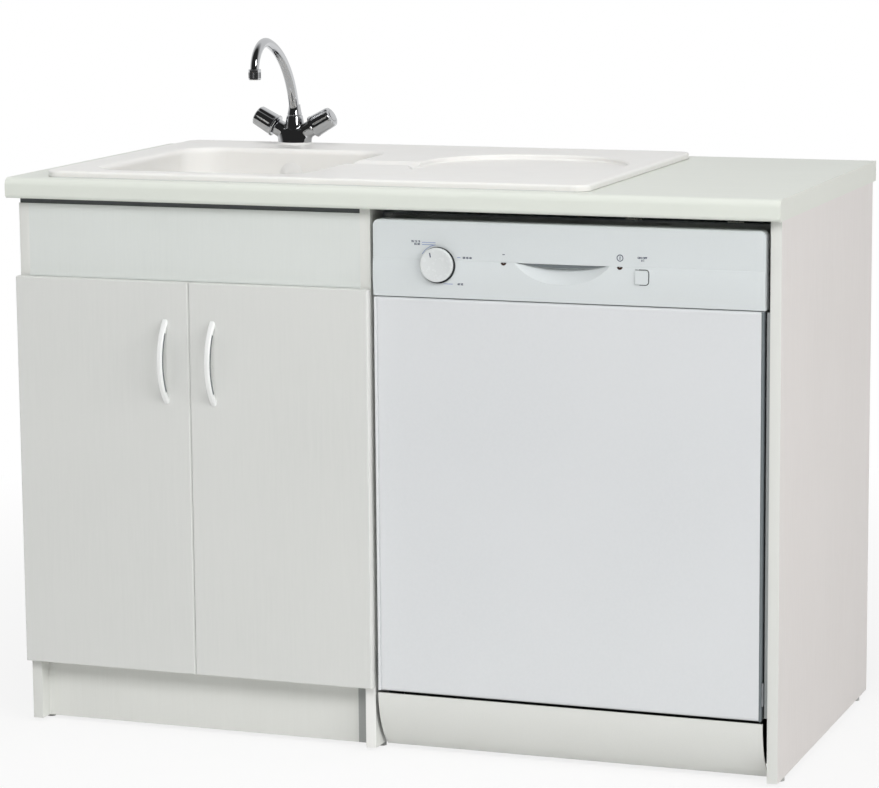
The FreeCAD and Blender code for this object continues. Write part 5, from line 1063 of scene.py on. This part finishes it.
@dataclass
class PanelMarks:
    """Print and painted shade on the dishwasher's control panel, its knob, and the returns of its door, the
    right one grey as painted shade.

    Attributes:
        crease_mm: Height of the crease above the panel's lower edge.
        step_mm: Depth of the step at the crease.
        belly_mm: Radius of the swelling below the crease.
        proud_mm: How far the push-button stands out.
        knob_mm: Radius and height of the knob.
        knob_round_mm: Radius of the knob's rounded rim.
        ring_mm: Radius of the painted shade ring behind the knob.
        ring_shift_mm: How far the ring lies to the right of the knob and above it.
        pointer_mm: X, Z, length and width of the pointer on the knob, from its middle.
        pointer_deg: Lean of the pointer to the left.
        line_mm: Width of the printed lines.
        bold_mm: Width of the lines of the signs.
        lift_mm: Thickness of the ink.
        dial_arc: Radius in millimetres of the arc round the knob, and its start and end in degrees.
        dial_lines_mm: Start, end and height of each printed line, from the knob's middle.
        dial_numbers: Name, numbers, X and Z of each group, from the knob's middle.
        switch_marks: Name, text, X and Z from the sign level over the button, and letter height.
        letter_mm: Height of the dial's numbers.
        lens_mm: Radius of a lamp's lens.
        shade_mm: Half width and height of the shade over a lamp.
        window_mm: Half width and height of a lamp's window.
        crease_gap_mm: How far shades and windows stay off the crease.
        sign_rise_mm: Height of the signs above the crease.
        sign_mm: Radius of the ring sign, half its stroke, half the dash sign, and the dash's drop.
        lip_mm: Gap, width and bend radius of the painted shade line round the button.
        lip_start_mm: Where that line starts at the button's top and ends at its foot, from the left.
        grip_mm: Half length and depth of the painted shade strip in the hand hold.
        grip_shift_mm: Place of that strip from the middle of the lamps and from the crease.
        grip_sunk_mm: How far its top lies behind the face, and how much deeper its foot lies.
        return_left_mm: Where the left return of the door starts and ends, from the door's left edge.
        return_right_mm: Where the right return, grey as painted shade, starts and ends, from the door's right
            edge.
        return_fit_mm: Stand of a return before the door, its insets from the back and ends, and its radius.
    """

    crease_mm: float = 55
    step_mm: float = 0.8
    belly_mm: float = 150
    proud_mm: float = 3
    knob_mm: Pair = (24.9, 7)
    knob_round_mm: float = 1.6
    ring_mm: float = 26.5
    ring_shift_mm: Pair = (0.5, -0.9)
    pointer_mm: Quadruple = (-8.6, 14.7, 7.4, 1.9)
    pointer_deg: float = 10
    line_mm: float = 0.8
    bold_mm: float = 1.3
    lift_mm: float = 0.12
    dial_arc: Triple = (28.4, 98, 150)
    dial_lines_mm: tuple[Triple, ...] = ((-25, -4, 31.2), (-25, -7, 28.1), (29, 34, 10.8), (9, 23, -27.8))
    dial_numbers: tuple[tuple[str, str, float, float], ...] = (
        ("hot", "70 65 60", -34.8, 32.2), ("warm", "55 50", -32.6, 28.4),
        ("mild", "50 45 40", 44.4, 10.6), ("cool", "40 35", 34.4, -27.8))
    switch_marks: tuple[tuple[str, str, float, float, float], ...] = (
        ("switch_word", "ON OFF", 0, 1.0, 2.7), ("switch_numbers", "0 1", 0.8, -2.9, 2.5))
    letter_mm: float = 2.7
    lens_mm: float = 3.5
    shade_mm: Pair = (4.0, 4.0)
    window_mm: Pair = (4.3, 4.0)
    crease_gap_mm: float = 0.2
    sign_rise_mm: float = 12.5
    sign_mm: Quadruple = (4.4, 2.3, 1.8, 1)
    lip_mm: Triple = (0.15, 1.2, 5.0)
    lip_start_mm: Pair = (5, 6)
    grip_mm: Pair = (70, 5)
    grip_shift_mm: Pair = (0.5, -0.5)
    grip_sunk_mm: Pair = (1.0, 1.6)
    return_left_mm: Pair = (-2.8, 1.5)
    return_right_mm: Pair = (-3.4, 0.3)
    return_fit_mm: Quadruple = (0.2, 4, 0.5, 1.4)

    def __post_init__(self) -> None:
        """Find the panel's face and the middles of the knob, the button and the lamps, in millimetres."""
        boxes = {name: np.array(box_mm(f"dw_{name}"))
                 for name in ("control_panel", "power_button", "programme_knob", "indicator_lenses")}
        self.bottom = boxes["control_panel"][0, 2]
        self.face = boxes["power_button"][0, 1] + 2 * self.step_mm + self.proud_mm
        self.knob = boxes["programme_knob"].mean(axis=0)[[0, 2]]
        self.knob_face = boxes["programme_knob"][0, 1]
        self.button = boxes["power_button"][:, [0, 2]]
        self.lamp_x = boxes["indicator_lenses"][:, 0]
        self.sign_level = self.bottom + self.crease_mm + self.sign_rise_mm

    def surface(self, z: np.ndarray) -> np.ndarray:
        """Depth of the panel's face at a height: flat above the crease, a circular arc below it.

        Args:
            z: Heights above the floor.

        Returns:
            Y of the face.
        """
        above = z - self.bottom
        start = np.array([-self.step_mm, self.crease_mm - self.step_mm / 2])
        end = np.array([self.step_mm / 2, 0])
        chord = end - start
        inward = np.array([-chord[1], chord[0]]) / np.linalg.norm(chord)
        centre = (start + end) / 2 + inward * math.sqrt(self.belly_mm ** 2 - chord @ chord / 4)
        belly = centre[0] - np.sqrt(self.belly_mm ** 2 - (above - centre[1]) ** 2)
        ramp = -self.step_mm * np.clip((self.crease_mm - above) / (self.step_mm / 2), 0, 1)
        return self.face + np.where(above >= start[1], ramp, belly)

    def printed(self, points: np.ndarray) -> np.ndarray:
        """Points of print given as X and Z, laid on the panel's face, in metres."""
        x, z = points[..., 0], points[..., 1]
        return np.stack([x, self.surface(z) - self.lift_mm, z], axis=-1) * MM

    def arc(self, middle: Point, radius: float, span_deg: Pair, width: float) -> np.ndarray:
        """Strip along a circle between two angles counted from the right, upward.

        Args:
            middle: X and Z of the circle's middle.
            radius: Radius of the strip's middle.
            span_deg: First and last angle.
            width: Width of the strip.

        Returns:
            Grid of printed points.
        """
        turn = np.radians(np.linspace(*span_deg, 48))[:, None]
        reach = np.array([radius - width / 2, radius + width / 2])[None, :]
        flat = np.stack([middle[0] + reach * np.cos(turn), middle[1] + reach * np.sin(turn)], axis=-1)
        return self.printed(flat)

    def line(self, start: Point, stop: Point, width: float) -> np.ndarray:
        """Straight strip between two points of the face.

        Args:
            start: X and Z of its start.
            stop: X and Z of its end.
            width: Width of the strip.

        Returns:
            Grid of printed points.
        """
        along = np.subtract(stop, start)
        side = np.array([along[1], -along[0]]) / np.linalg.norm(along) * width / 2
        run = np.linspace(0, 1, 12)[:, None, None]
        return self.printed(np.asarray(start) + run * along + np.stack([side, -side])[None])

    def half_moon(self, across: float, half_mm: Pair, sign: int) -> np.ndarray:
        """Half oval on the crease: rows shrink from its rim to the middle of its straight side.

        Args:
            across: X of its middle.
            half_mm: Half width, and height off the crease.
            sign: 1 above the crease and -1 below it.

        Returns:
            Grid of printed points.
        """
        turn = np.linspace(0, math.pi, 24)[None, :]
        reach = np.linspace(1, 0, 4)[:, None]
        level = self.bottom + self.crease_mm + sign * self.crease_gap_mm
        return self.printed(np.stack([across + half_mm[0] * reach * np.cos(turn) * -sign,
                                      level + sign * half_mm[1] * reach * np.sin(turn)], axis=-1))

    def lettering(self, name: str, text: str, middle: Point, height: float) -> None:
        """Printed numbers or switch word: a bold font outline filled to a mesh and laid on the face.

        Args:
            name: Name of the piece.
            text: Characters.
            middle: X and Z of its middle.
            height: Height of the characters.
        """
        capital_share, bold_share = 0.7, 0.06
        curve = bpy.data.curves.new(name, "FONT")
        curve.body = text
        curve.align_x = "CENTER"
        curve.align_y = "CENTER"
        curve.size = height / capital_share
        curve.offset = bold_share * curve.size
        holder = bpy.data.objects.new(name, curve)
        mesh = bpy.data.meshes.new_from_object(holder)
        bpy.data.objects.remove(holder)
        flat = np.empty(len(mesh.vertices) * 3)
        mesh.vertices.foreach_get("co", flat)
        mesh.vertices.foreach_set("co", self.printed(flat.reshape(-1, 3)[:, :2] + middle).ravel())
        mounted(name, mesh, INK_DARK, "dishwasher_door")

    def dial(self) -> None:
        """Print the programme lines and their numbers round the knob."""
        x, z = self.knob
        radius, first_deg, last_deg = self.dial_arc
        strips = [self.arc(self.knob, radius, (first_deg, last_deg), self.line_mm)]
        for start, stop, level in self.dial_lines_mm:
            strips.append(self.line((x + start, z + level), (x + stop, z + level), self.line_mm))
        piece("dial_lines", strips, INK, "dishwasher_door", closed=False)
        for name, text, across, level in self.dial_numbers:
            self.lettering(f"dial_numbers_{name}", text, (x + across, z + level), self.letter_mm)

    def lamps(self) -> None:
        """Shade the lamps above the crease, open them below it and print the signs over them."""
        left, right = self.lamp_x[0] + self.lens_mm, self.lamp_x[1] - self.lens_mm
        shades = [self.half_moon(x, self.shade_mm, 1) for x in (left, right)]
        piece("lamp_shades", shades, ABS, "dishwasher_door", closed=False)
        openings = [self.half_moon(x, self.window_mm, -1) for x in (left, right)]
        windows = piece("lamp_windows", openings, LENS, "dishwasher_door", closed=False)
        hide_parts("dw_indicator_lenses")
        level = self.sign_level
        ring, stroke, dash, drop = self.sign_mm
        signs = [self.arc((right, level), ring, (0, 360), self.bold_mm),
                 self.line((right, level - stroke), (right, level + stroke), self.bold_mm),
                 self.line((left - dash, level - drop), (left + dash, level - drop), self.bold_mm)]
        piece("lamp_signs", signs, INK_DARK, "dishwasher_door", closed=False)

    def button_trim(self) -> None:
        """Painted shade round three sides of the button: a dark path along top, right side and foot, made
        wider.
        """
        (x0, z0), (x1, z1) = self.button
        gap, wide, bend = self.lip_mm
        start, stop = self.lip_start_mm
        edges = []
        for grow in (gap, gap + wide):
            route = [(x0 + start, z1 + grow, 0), (x1 + grow, z1 + grow, 0), (x1 + grow, z0 - grow, 0),
                     (x0 + stop, z0 - grow, 0)]
            edges.append(bent_path(route, bend + grow, 10)[:, :2])
        for name, text, across, rise, height in self.switch_marks:
            self.lettering(name, text, ((x0 + x1) / 2 + across, self.sign_level + rise), height)
        strip = self.printed(np.stack(edges, axis=1))
        piece("button_shade_line", [strip], SHADOW_GAP, "dishwasher_door", closed=False)

    def grip_shade(self) -> None:
        """Painted shade at the top of the hand hold: a grey strip whose depth falls off with the square of
        the offset.
        """
        reach, depth = self.grip_mm
        shift, drop = self.grip_shift_mm
        top, deeper = self.grip_sunk_mm
        across = np.linspace(-1, 1, 60)[None, :]
        share = np.linspace(0, 1, 5)[:, None]
        x = (self.lamp_x.mean() + shift) + reach * across + 0 * share
        y = self.face + top + deeper * share + 0 * across
        z = self.bottom + self.crease_mm + drop - share * depth * (1 - across ** 2)
        strip = np.stack([x, y, z], axis=-1) * MM
        piece("grip_shade", [strip], SHADE_GREY, "dishwasher_door", closed=False)

    def side_returns(self) -> None:
        """Returns along the door's sides: upright bars folded round the edges, white left, and grey right as
        painted shade on that side.
        """
        low, high = box_mm("dw_door_panel")
        stand, back, end, radius = self.return_fit_mm
        for side, edge, (start, stop), finish, slot in (
                ("left", low[0], self.return_left_mm, ENAMEL, "dw_white_metal"),
                ("right", high[0], self.return_right_mm, SHADE_GREY, "dw_grey_plastic")):
            outline = rounded_box((edge + start, low[1] - stand), (edge + stop, high[1] - back), radius)
            bar = extruded(outline, low[2] + end, high[2] - end)
            piece(f"dw_door_{side}_return", [bar * MM], finish, "dishwasher_door")

    def turn_knob(self) -> None:
        """Knob: a turned profile with a rounded rim and a shallow dish."""
        radius, height = self.knob_mm
        bend = self.knob_round_mm
        turn = np.radians(np.linspace(0, 90, 7))
        rim = np.column_stack([radius - bend + bend * np.cos(turn), height - bend + bend * np.sin(turn)])
        # Edge, flank and middle of the dish, as radius and height
        dish = np.array([(radius - 4, height - 0.05), (radius - 5, height - 0.3), (0, height - 0.5)])
        profile = np.concatenate([[(0, 0), (radius - 0.5, 0), (radius, 0.5)], rim, dish])
        back = np.array([self.knob[0], self.knob_face + height, self.knob[1]]) * MM
        grid = along_axis(revolved(profile, 96) * MM, back, FORWARD)
        knob = piece("dial_knob", [grid], KNOB_ABS, "programme_knob")
        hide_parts("dw_programme_knob")

    def pointer(self) -> None:
        """Pointer on the knob: a straight strip that leans to the left, just over the dish."""
        x, z, length, width = self.pointer_mm
        lean = math.radians(self.pointer_deg)
        along = np.array([-math.sin(lean), math.cos(lean)]) * length / 2
        side = np.array([math.cos(lean), math.sin(lean)]) * width / 2
        share = np.linspace(1, -1, 6)[:, None, None]
        flat = self.knob + (x, z) + share * along + np.stack([side, -side])[None]
        depth = np.full(flat.shape[:2], self.knob_face + 0.3)
        strip = np.stack([flat[..., 0], depth, flat[..., 1]], axis=-1) * MM
        piece("knob_pointer", [strip], INK_DARK, "programme_knob", closed=False)

    def knob_shade_ring(self) -> None:
        """Painted shade behind the knob: a dark turned disc on a stem that reaches into the panel."""
        radius = self.ring_mm
        # Stem inside the panel, underside and face of the disc, as radius and height off the panel
        profile = np.array([(0, -4), (20, -4), (20, 2.4), (radius, 2.6), (radius, 4.6), (0, 4.6)])
        across, rise = self.ring_shift_mm
        place = np.array([self.knob[0] + across, self.face, self.knob[1] + rise])
        grid = along_axis(revolved(profile, 72) * MM, place * MM, FORWARD)
        piece("knob_shade_ring", [grid], SHADOW_GAP, "dishwasher_door")

    def build(self) -> None:
        """Make all the print and the trim."""
        self.dial()
        self.lamps()
        self.button_trim()
        self.grip_shade()
        self.side_returns()
        self.turn_knob()
        self.pointer()
        self.knob_shade_ring()


# Studio


@dataclass(frozen=True)
class SoftBox:
    """One soft lamp of the studio.

    Attributes:
        name: Name of the lamp.
        place_m: Where it hangs.
        aim_m: Point that it faces.
        size_m: Width and height.
        watts: Power.
        mirrored: Whether glossy surfaces show it.
    """

    name: str
    place_m: Triple
    aim_m: Triple
    size_m: Pair
    watts: float
    mirrored: bool = False

    def hang(self) -> None:
        """Put the lamp in the scene, out of the camera's sight."""
        light = bpy.data.lights.new(self.name, "AREA")
        light.shape = "RECTANGLE"
        light.size, light.size_y = self.size_m
        light.energy = self.watts
        lamp = bpy.data.objects.new(self.name, light)
        lamp.location = self.place_m
        lamp.rotation_euler = (Vector(self.aim_m) - Vector(self.place_m)).to_track_quat("-Z", "Y").to_euler()
        lamp.visible_camera = False
        lamp.visible_glossy = self.mirrored
        bpy.context.scene.collection.objects.link(lamp)


@dataclass
class Studio:
    """Camera, soft light and pale floor.

    Attributes:
        camera_m: Where the camera stands.
        yaw_deg: Turn of the view to the left of straight ahead.
        pitch_deg: Tilt of the view above level.
        roll_deg: Roll of the view.
        lens_mm: Focal length.
        sensor_mm: Width of the sensor.
        sight_m: How far the camera sees.
        ambient: Level of the light from all round.
        floor_m: Side of the floor.
        paper_axis: Direction in which mirrors see the paper brighten.
        paper_span: Where along that axis the paper starts and ends to brighten.
        paper_levels: Its dimmest and brightest level in mirrors.
        paper_end_m: Where in front of the unit mirrors see the floor's paper end, and where it is whole.
        room_level: Level of the dim room beyond the paper.
        shadow_m: Distance within which the floor keeps the unit's shadow, and at which it is plain white.
        shadow_share: Share of plain white within the first distance.
        boxes: The lamps.
    """

    camera_m: Triple = (1.72405, -4.73905, 1.33710)
    yaw_deg: float = 20.1147
    pitch_deg: float = -9.3931
    roll_deg: float = -0.4917
    lens_mm: float = 135.63
    sensor_mm: float = 36
    sight_m: float = 200
    ambient: float = 0.12
    floor_m: float = 60.0
    paper_axis: Triple = (0, 1, -0.35)
    paper_span: Pair = (-0.5, 0.15)
    paper_levels: Pair = (0.03, 0.85)
    paper_end_m: Pair = (-2.4, -0.9)
    room_level: float = 0.06
    shadow_m: Pair = (0.7, 2.2)
    shadow_share: float = 0.82
    boxes: tuple[SoftBox, ...] = (
        SoftBox("key", (0.9, -4.6, 3.5), (0, 0, 0.5), (1.8, 1.8), 114),
        SoftBox("fill", (5.2, -4.4, 4.0), (0, 0, 0.5), (2.2, 2.2), 108, mirrored=True),
        SoftBox("side", (6.2, -2.2, 2.8), (0.4, 0, 0.5), (2.0, 2.0), 122),
        SoftBox("top", (-0.4, -0.4, 3.6), (0, 0, 0.8), (3.0, 2.0), 38),
        SoftBox("left", (-1.6, -1.8, 1.5), (-0.3, -0.2, 0.4), (0.8, 0.8), 2.5),
    )

    def camera(self) -> None:
        """Stand the camera where the picture was taken from."""
        yaw, pitch, roll = (math.radians(angle) for angle in (self.yaw_deg, self.pitch_deg, self.roll_deg))
        ahead = Vector((-math.sin(yaw) * math.cos(pitch), math.cos(yaw) * math.cos(pitch), math.sin(pitch)))
        level = Vector((math.cos(yaw), math.sin(yaw), 0))
        upright = level.cross(ahead)
        right = level * math.cos(roll) + upright * math.sin(roll)
        up = upright * math.cos(roll) - level * math.sin(roll)
        view = bpy.data.cameras.new("view")
        view.lens = self.lens_mm
        view.sensor_width = self.sensor_mm
        view.clip_end = self.sight_m
        camera = bpy.data.objects.new("view", view)
        turn = Matrix((right, up, -ahead)).transposed().to_4x4()
        camera.matrix_world = Matrix.Translation(self.camera_m) @ turn
        bpy.context.scene.collection.objects.link(camera)
        bpy.context.scene.camera = camera

    @staticmethod
    def seen(tree: bpy.types.NodeTree) -> bpy.types.NodeSocket:
        """One for rays that show the surroundings: those of the camera, of mirrors and of glass.

        Args:
            tree: Node tree that asks.

        Returns:
            Socket that is one for such rays and zero for others.
        """
        path = add_node(tree, "ShaderNodeLightPath")
        either = add_node(tree, "ShaderNodeMath", {
            0: path.outputs["Is Camera Ray"], 1: path.outputs["Is Glossy Ray"]}, operation="MAXIMUM")
        return add_node(tree, "ShaderNodeMath", {
            0: either.outputs[0], 1: path.outputs["Is Transmission Ray"]}, operation="MAXIMUM").outputs[0]

    def world(self) -> None:
        """White paper all round for the camera; mirrors see it fall off into the dim room in front."""
        world = bpy.data.worlds.new("studio")
        bpy.context.scene.world = world
        world.use_nodes = True
        tree = world.node_tree
        tree.nodes.clear()
        toward = add_node(tree, "ShaderNodeVectorMath", {
            0: add_node(tree, "ShaderNodeTexCoord").outputs["Generated"], 1: self.paper_axis},
            operation="DOT_PRODUCT")
        paper = add_node(tree, "ShaderNodeMapRange", {
            "Value": toward.outputs["Value"], "From Min": self.paper_span[0], "From Max": self.paper_span[1],
            "To Min": self.paper_levels[0], "To Max": self.paper_levels[1]})
        path = add_node(tree, "ShaderNodeLightPath")
        mirrored = add_node(tree, "ShaderNodeMix", {
            MIX_SHARE: path.outputs["Is Glossy Ray"], NUMBER_A: 1.0, NUMBER_B: paper.outputs["Result"]})
        level = add_node(tree, "ShaderNodeMix", {
            MIX_SHARE: self.seen(tree), NUMBER_A: self.ambient, NUMBER_B: mirrored.outputs[0]})
        light = add_node(tree, "ShaderNodeBackground", {"Color": WHITE, "Strength": level.outputs[0]})
        add_node(tree, "ShaderNodeOutputWorld", {"Surface": light.outputs[0]})

    def floor(self) -> None:
        """Pale floor that keeps a soft part of the unit's shadow."""
        half = self.floor_m / 2
        corners = [(-half, -half, 0), (half, -half, 0), (half, half, 0), (-half, half, 0)]
        mesh = bpy.data.meshes.new("floor")
        mesh.from_pydata(corners, [], [(0, 1, 2, 3)])
        floor = bpy.data.objects.new("floor", mesh)
        bpy.context.scene.collection.objects.link(floor)
        # Backdrop paper: matt and just off white, lit to white for the camera
        paper = bpy.data.materials.new("backdrop_paper")
        paper.use_nodes = True
        tree = paper.node_tree
        shader, out = tree.nodes["Principled BSDF"], tree.nodes["Material Output"]
        shader.inputs["Base Color"].default_value = linear("#F3F3F2")
        shader.inputs["Roughness"].default_value = 0.9
        place = add_node(tree, "ShaderNodeTexCoord").outputs["Object"]
        # In mirrors the paper ends a step in front of the unit, and the dim room begins
        ahead = add_node(tree, "ShaderNodeSeparateXYZ", {0: place})
        ending = add_node(tree, "ShaderNodeMapRange", {
            "Value": ahead.outputs["Y"], "From Min": self.paper_end_m[0], "From Max": self.paper_end_m[1],
            "To Min": self.room_level, "To Max": 1.0})
        path = add_node(tree, "ShaderNodeLightPath")
        level = add_node(tree, "ShaderNodeMix", {
            MIX_SHARE: path.outputs["Is Glossy Ray"], NUMBER_A: 1.0, NUMBER_B: ending.outputs["Result"]})
        white = add_node(tree, "ShaderNodeEmission", {"Color": WHITE, "Strength": level.outputs[0]})
        reach = add_node(tree, "ShaderNodeVectorMath", {0: place}, operation="LENGTH")
        # The paper is lit to white away from the unit and keeps the unit's own shadow close to it
        clear = add_node(tree, "ShaderNodeMapRange", {
            "Value": reach.outputs["Value"], "From Min": self.shadow_m[0], "From Max": self.shadow_m[1],
            "To Min": self.shadow_share, "To Max": 1.0})
        share = add_node(tree, "ShaderNodeMath", {
            0: self.seen(tree), 1: clear.outputs["Result"]}, operation="MULTIPLY")
        lifted = add_node(tree, "ShaderNodeMixShader", {
            0: share.outputs[0], 1: shader.outputs[0], 2: white.outputs[0]})
        tree.links.new(lifted.outputs[0], out.inputs["Surface"])
        mesh.materials.append(paper)

    def build(self) -> None:
        """Set up the whole studio."""
        bpy.context.scene.view_settings.view_transform = "Standard"
        self.camera()
        self.world()
        self.floor()
        for box in self.boxes:
            box.hang()


def dress(frame: dict) -> None:
    """Give every CAD node the finish of its material slot.

    Args:
        frame: The loaded frame.
    """
    for part in frame["record"]["subparts"]:
        node = part["node"]
        finish = NODE_FINISHES.get(node, SLOT_FINISHES[part["material_slot"]])
        for slot in frame["nodes"][node].material_slots:
            slot.material = finish.material()
        log.info("%s: %s", node, finish.name)


def main() -> None:
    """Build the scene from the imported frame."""
    logging.basicConfig(level=logging.INFO, format="%(message)s")
    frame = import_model()
    Studio().build()
    dress(frame)
    BoardEdges().build()
    SinkTrim().build()
    MixerTap().build()
    WireRack("dw_lower_rack", tine_mm=62, tine_rows=5).build()
    WireRack("dw_upper_rack", tine_mm=34, tine_rows=3).build()
    TubFittings().build()
    PanelMarks().build()


if __name__ == "__main__":
    main()
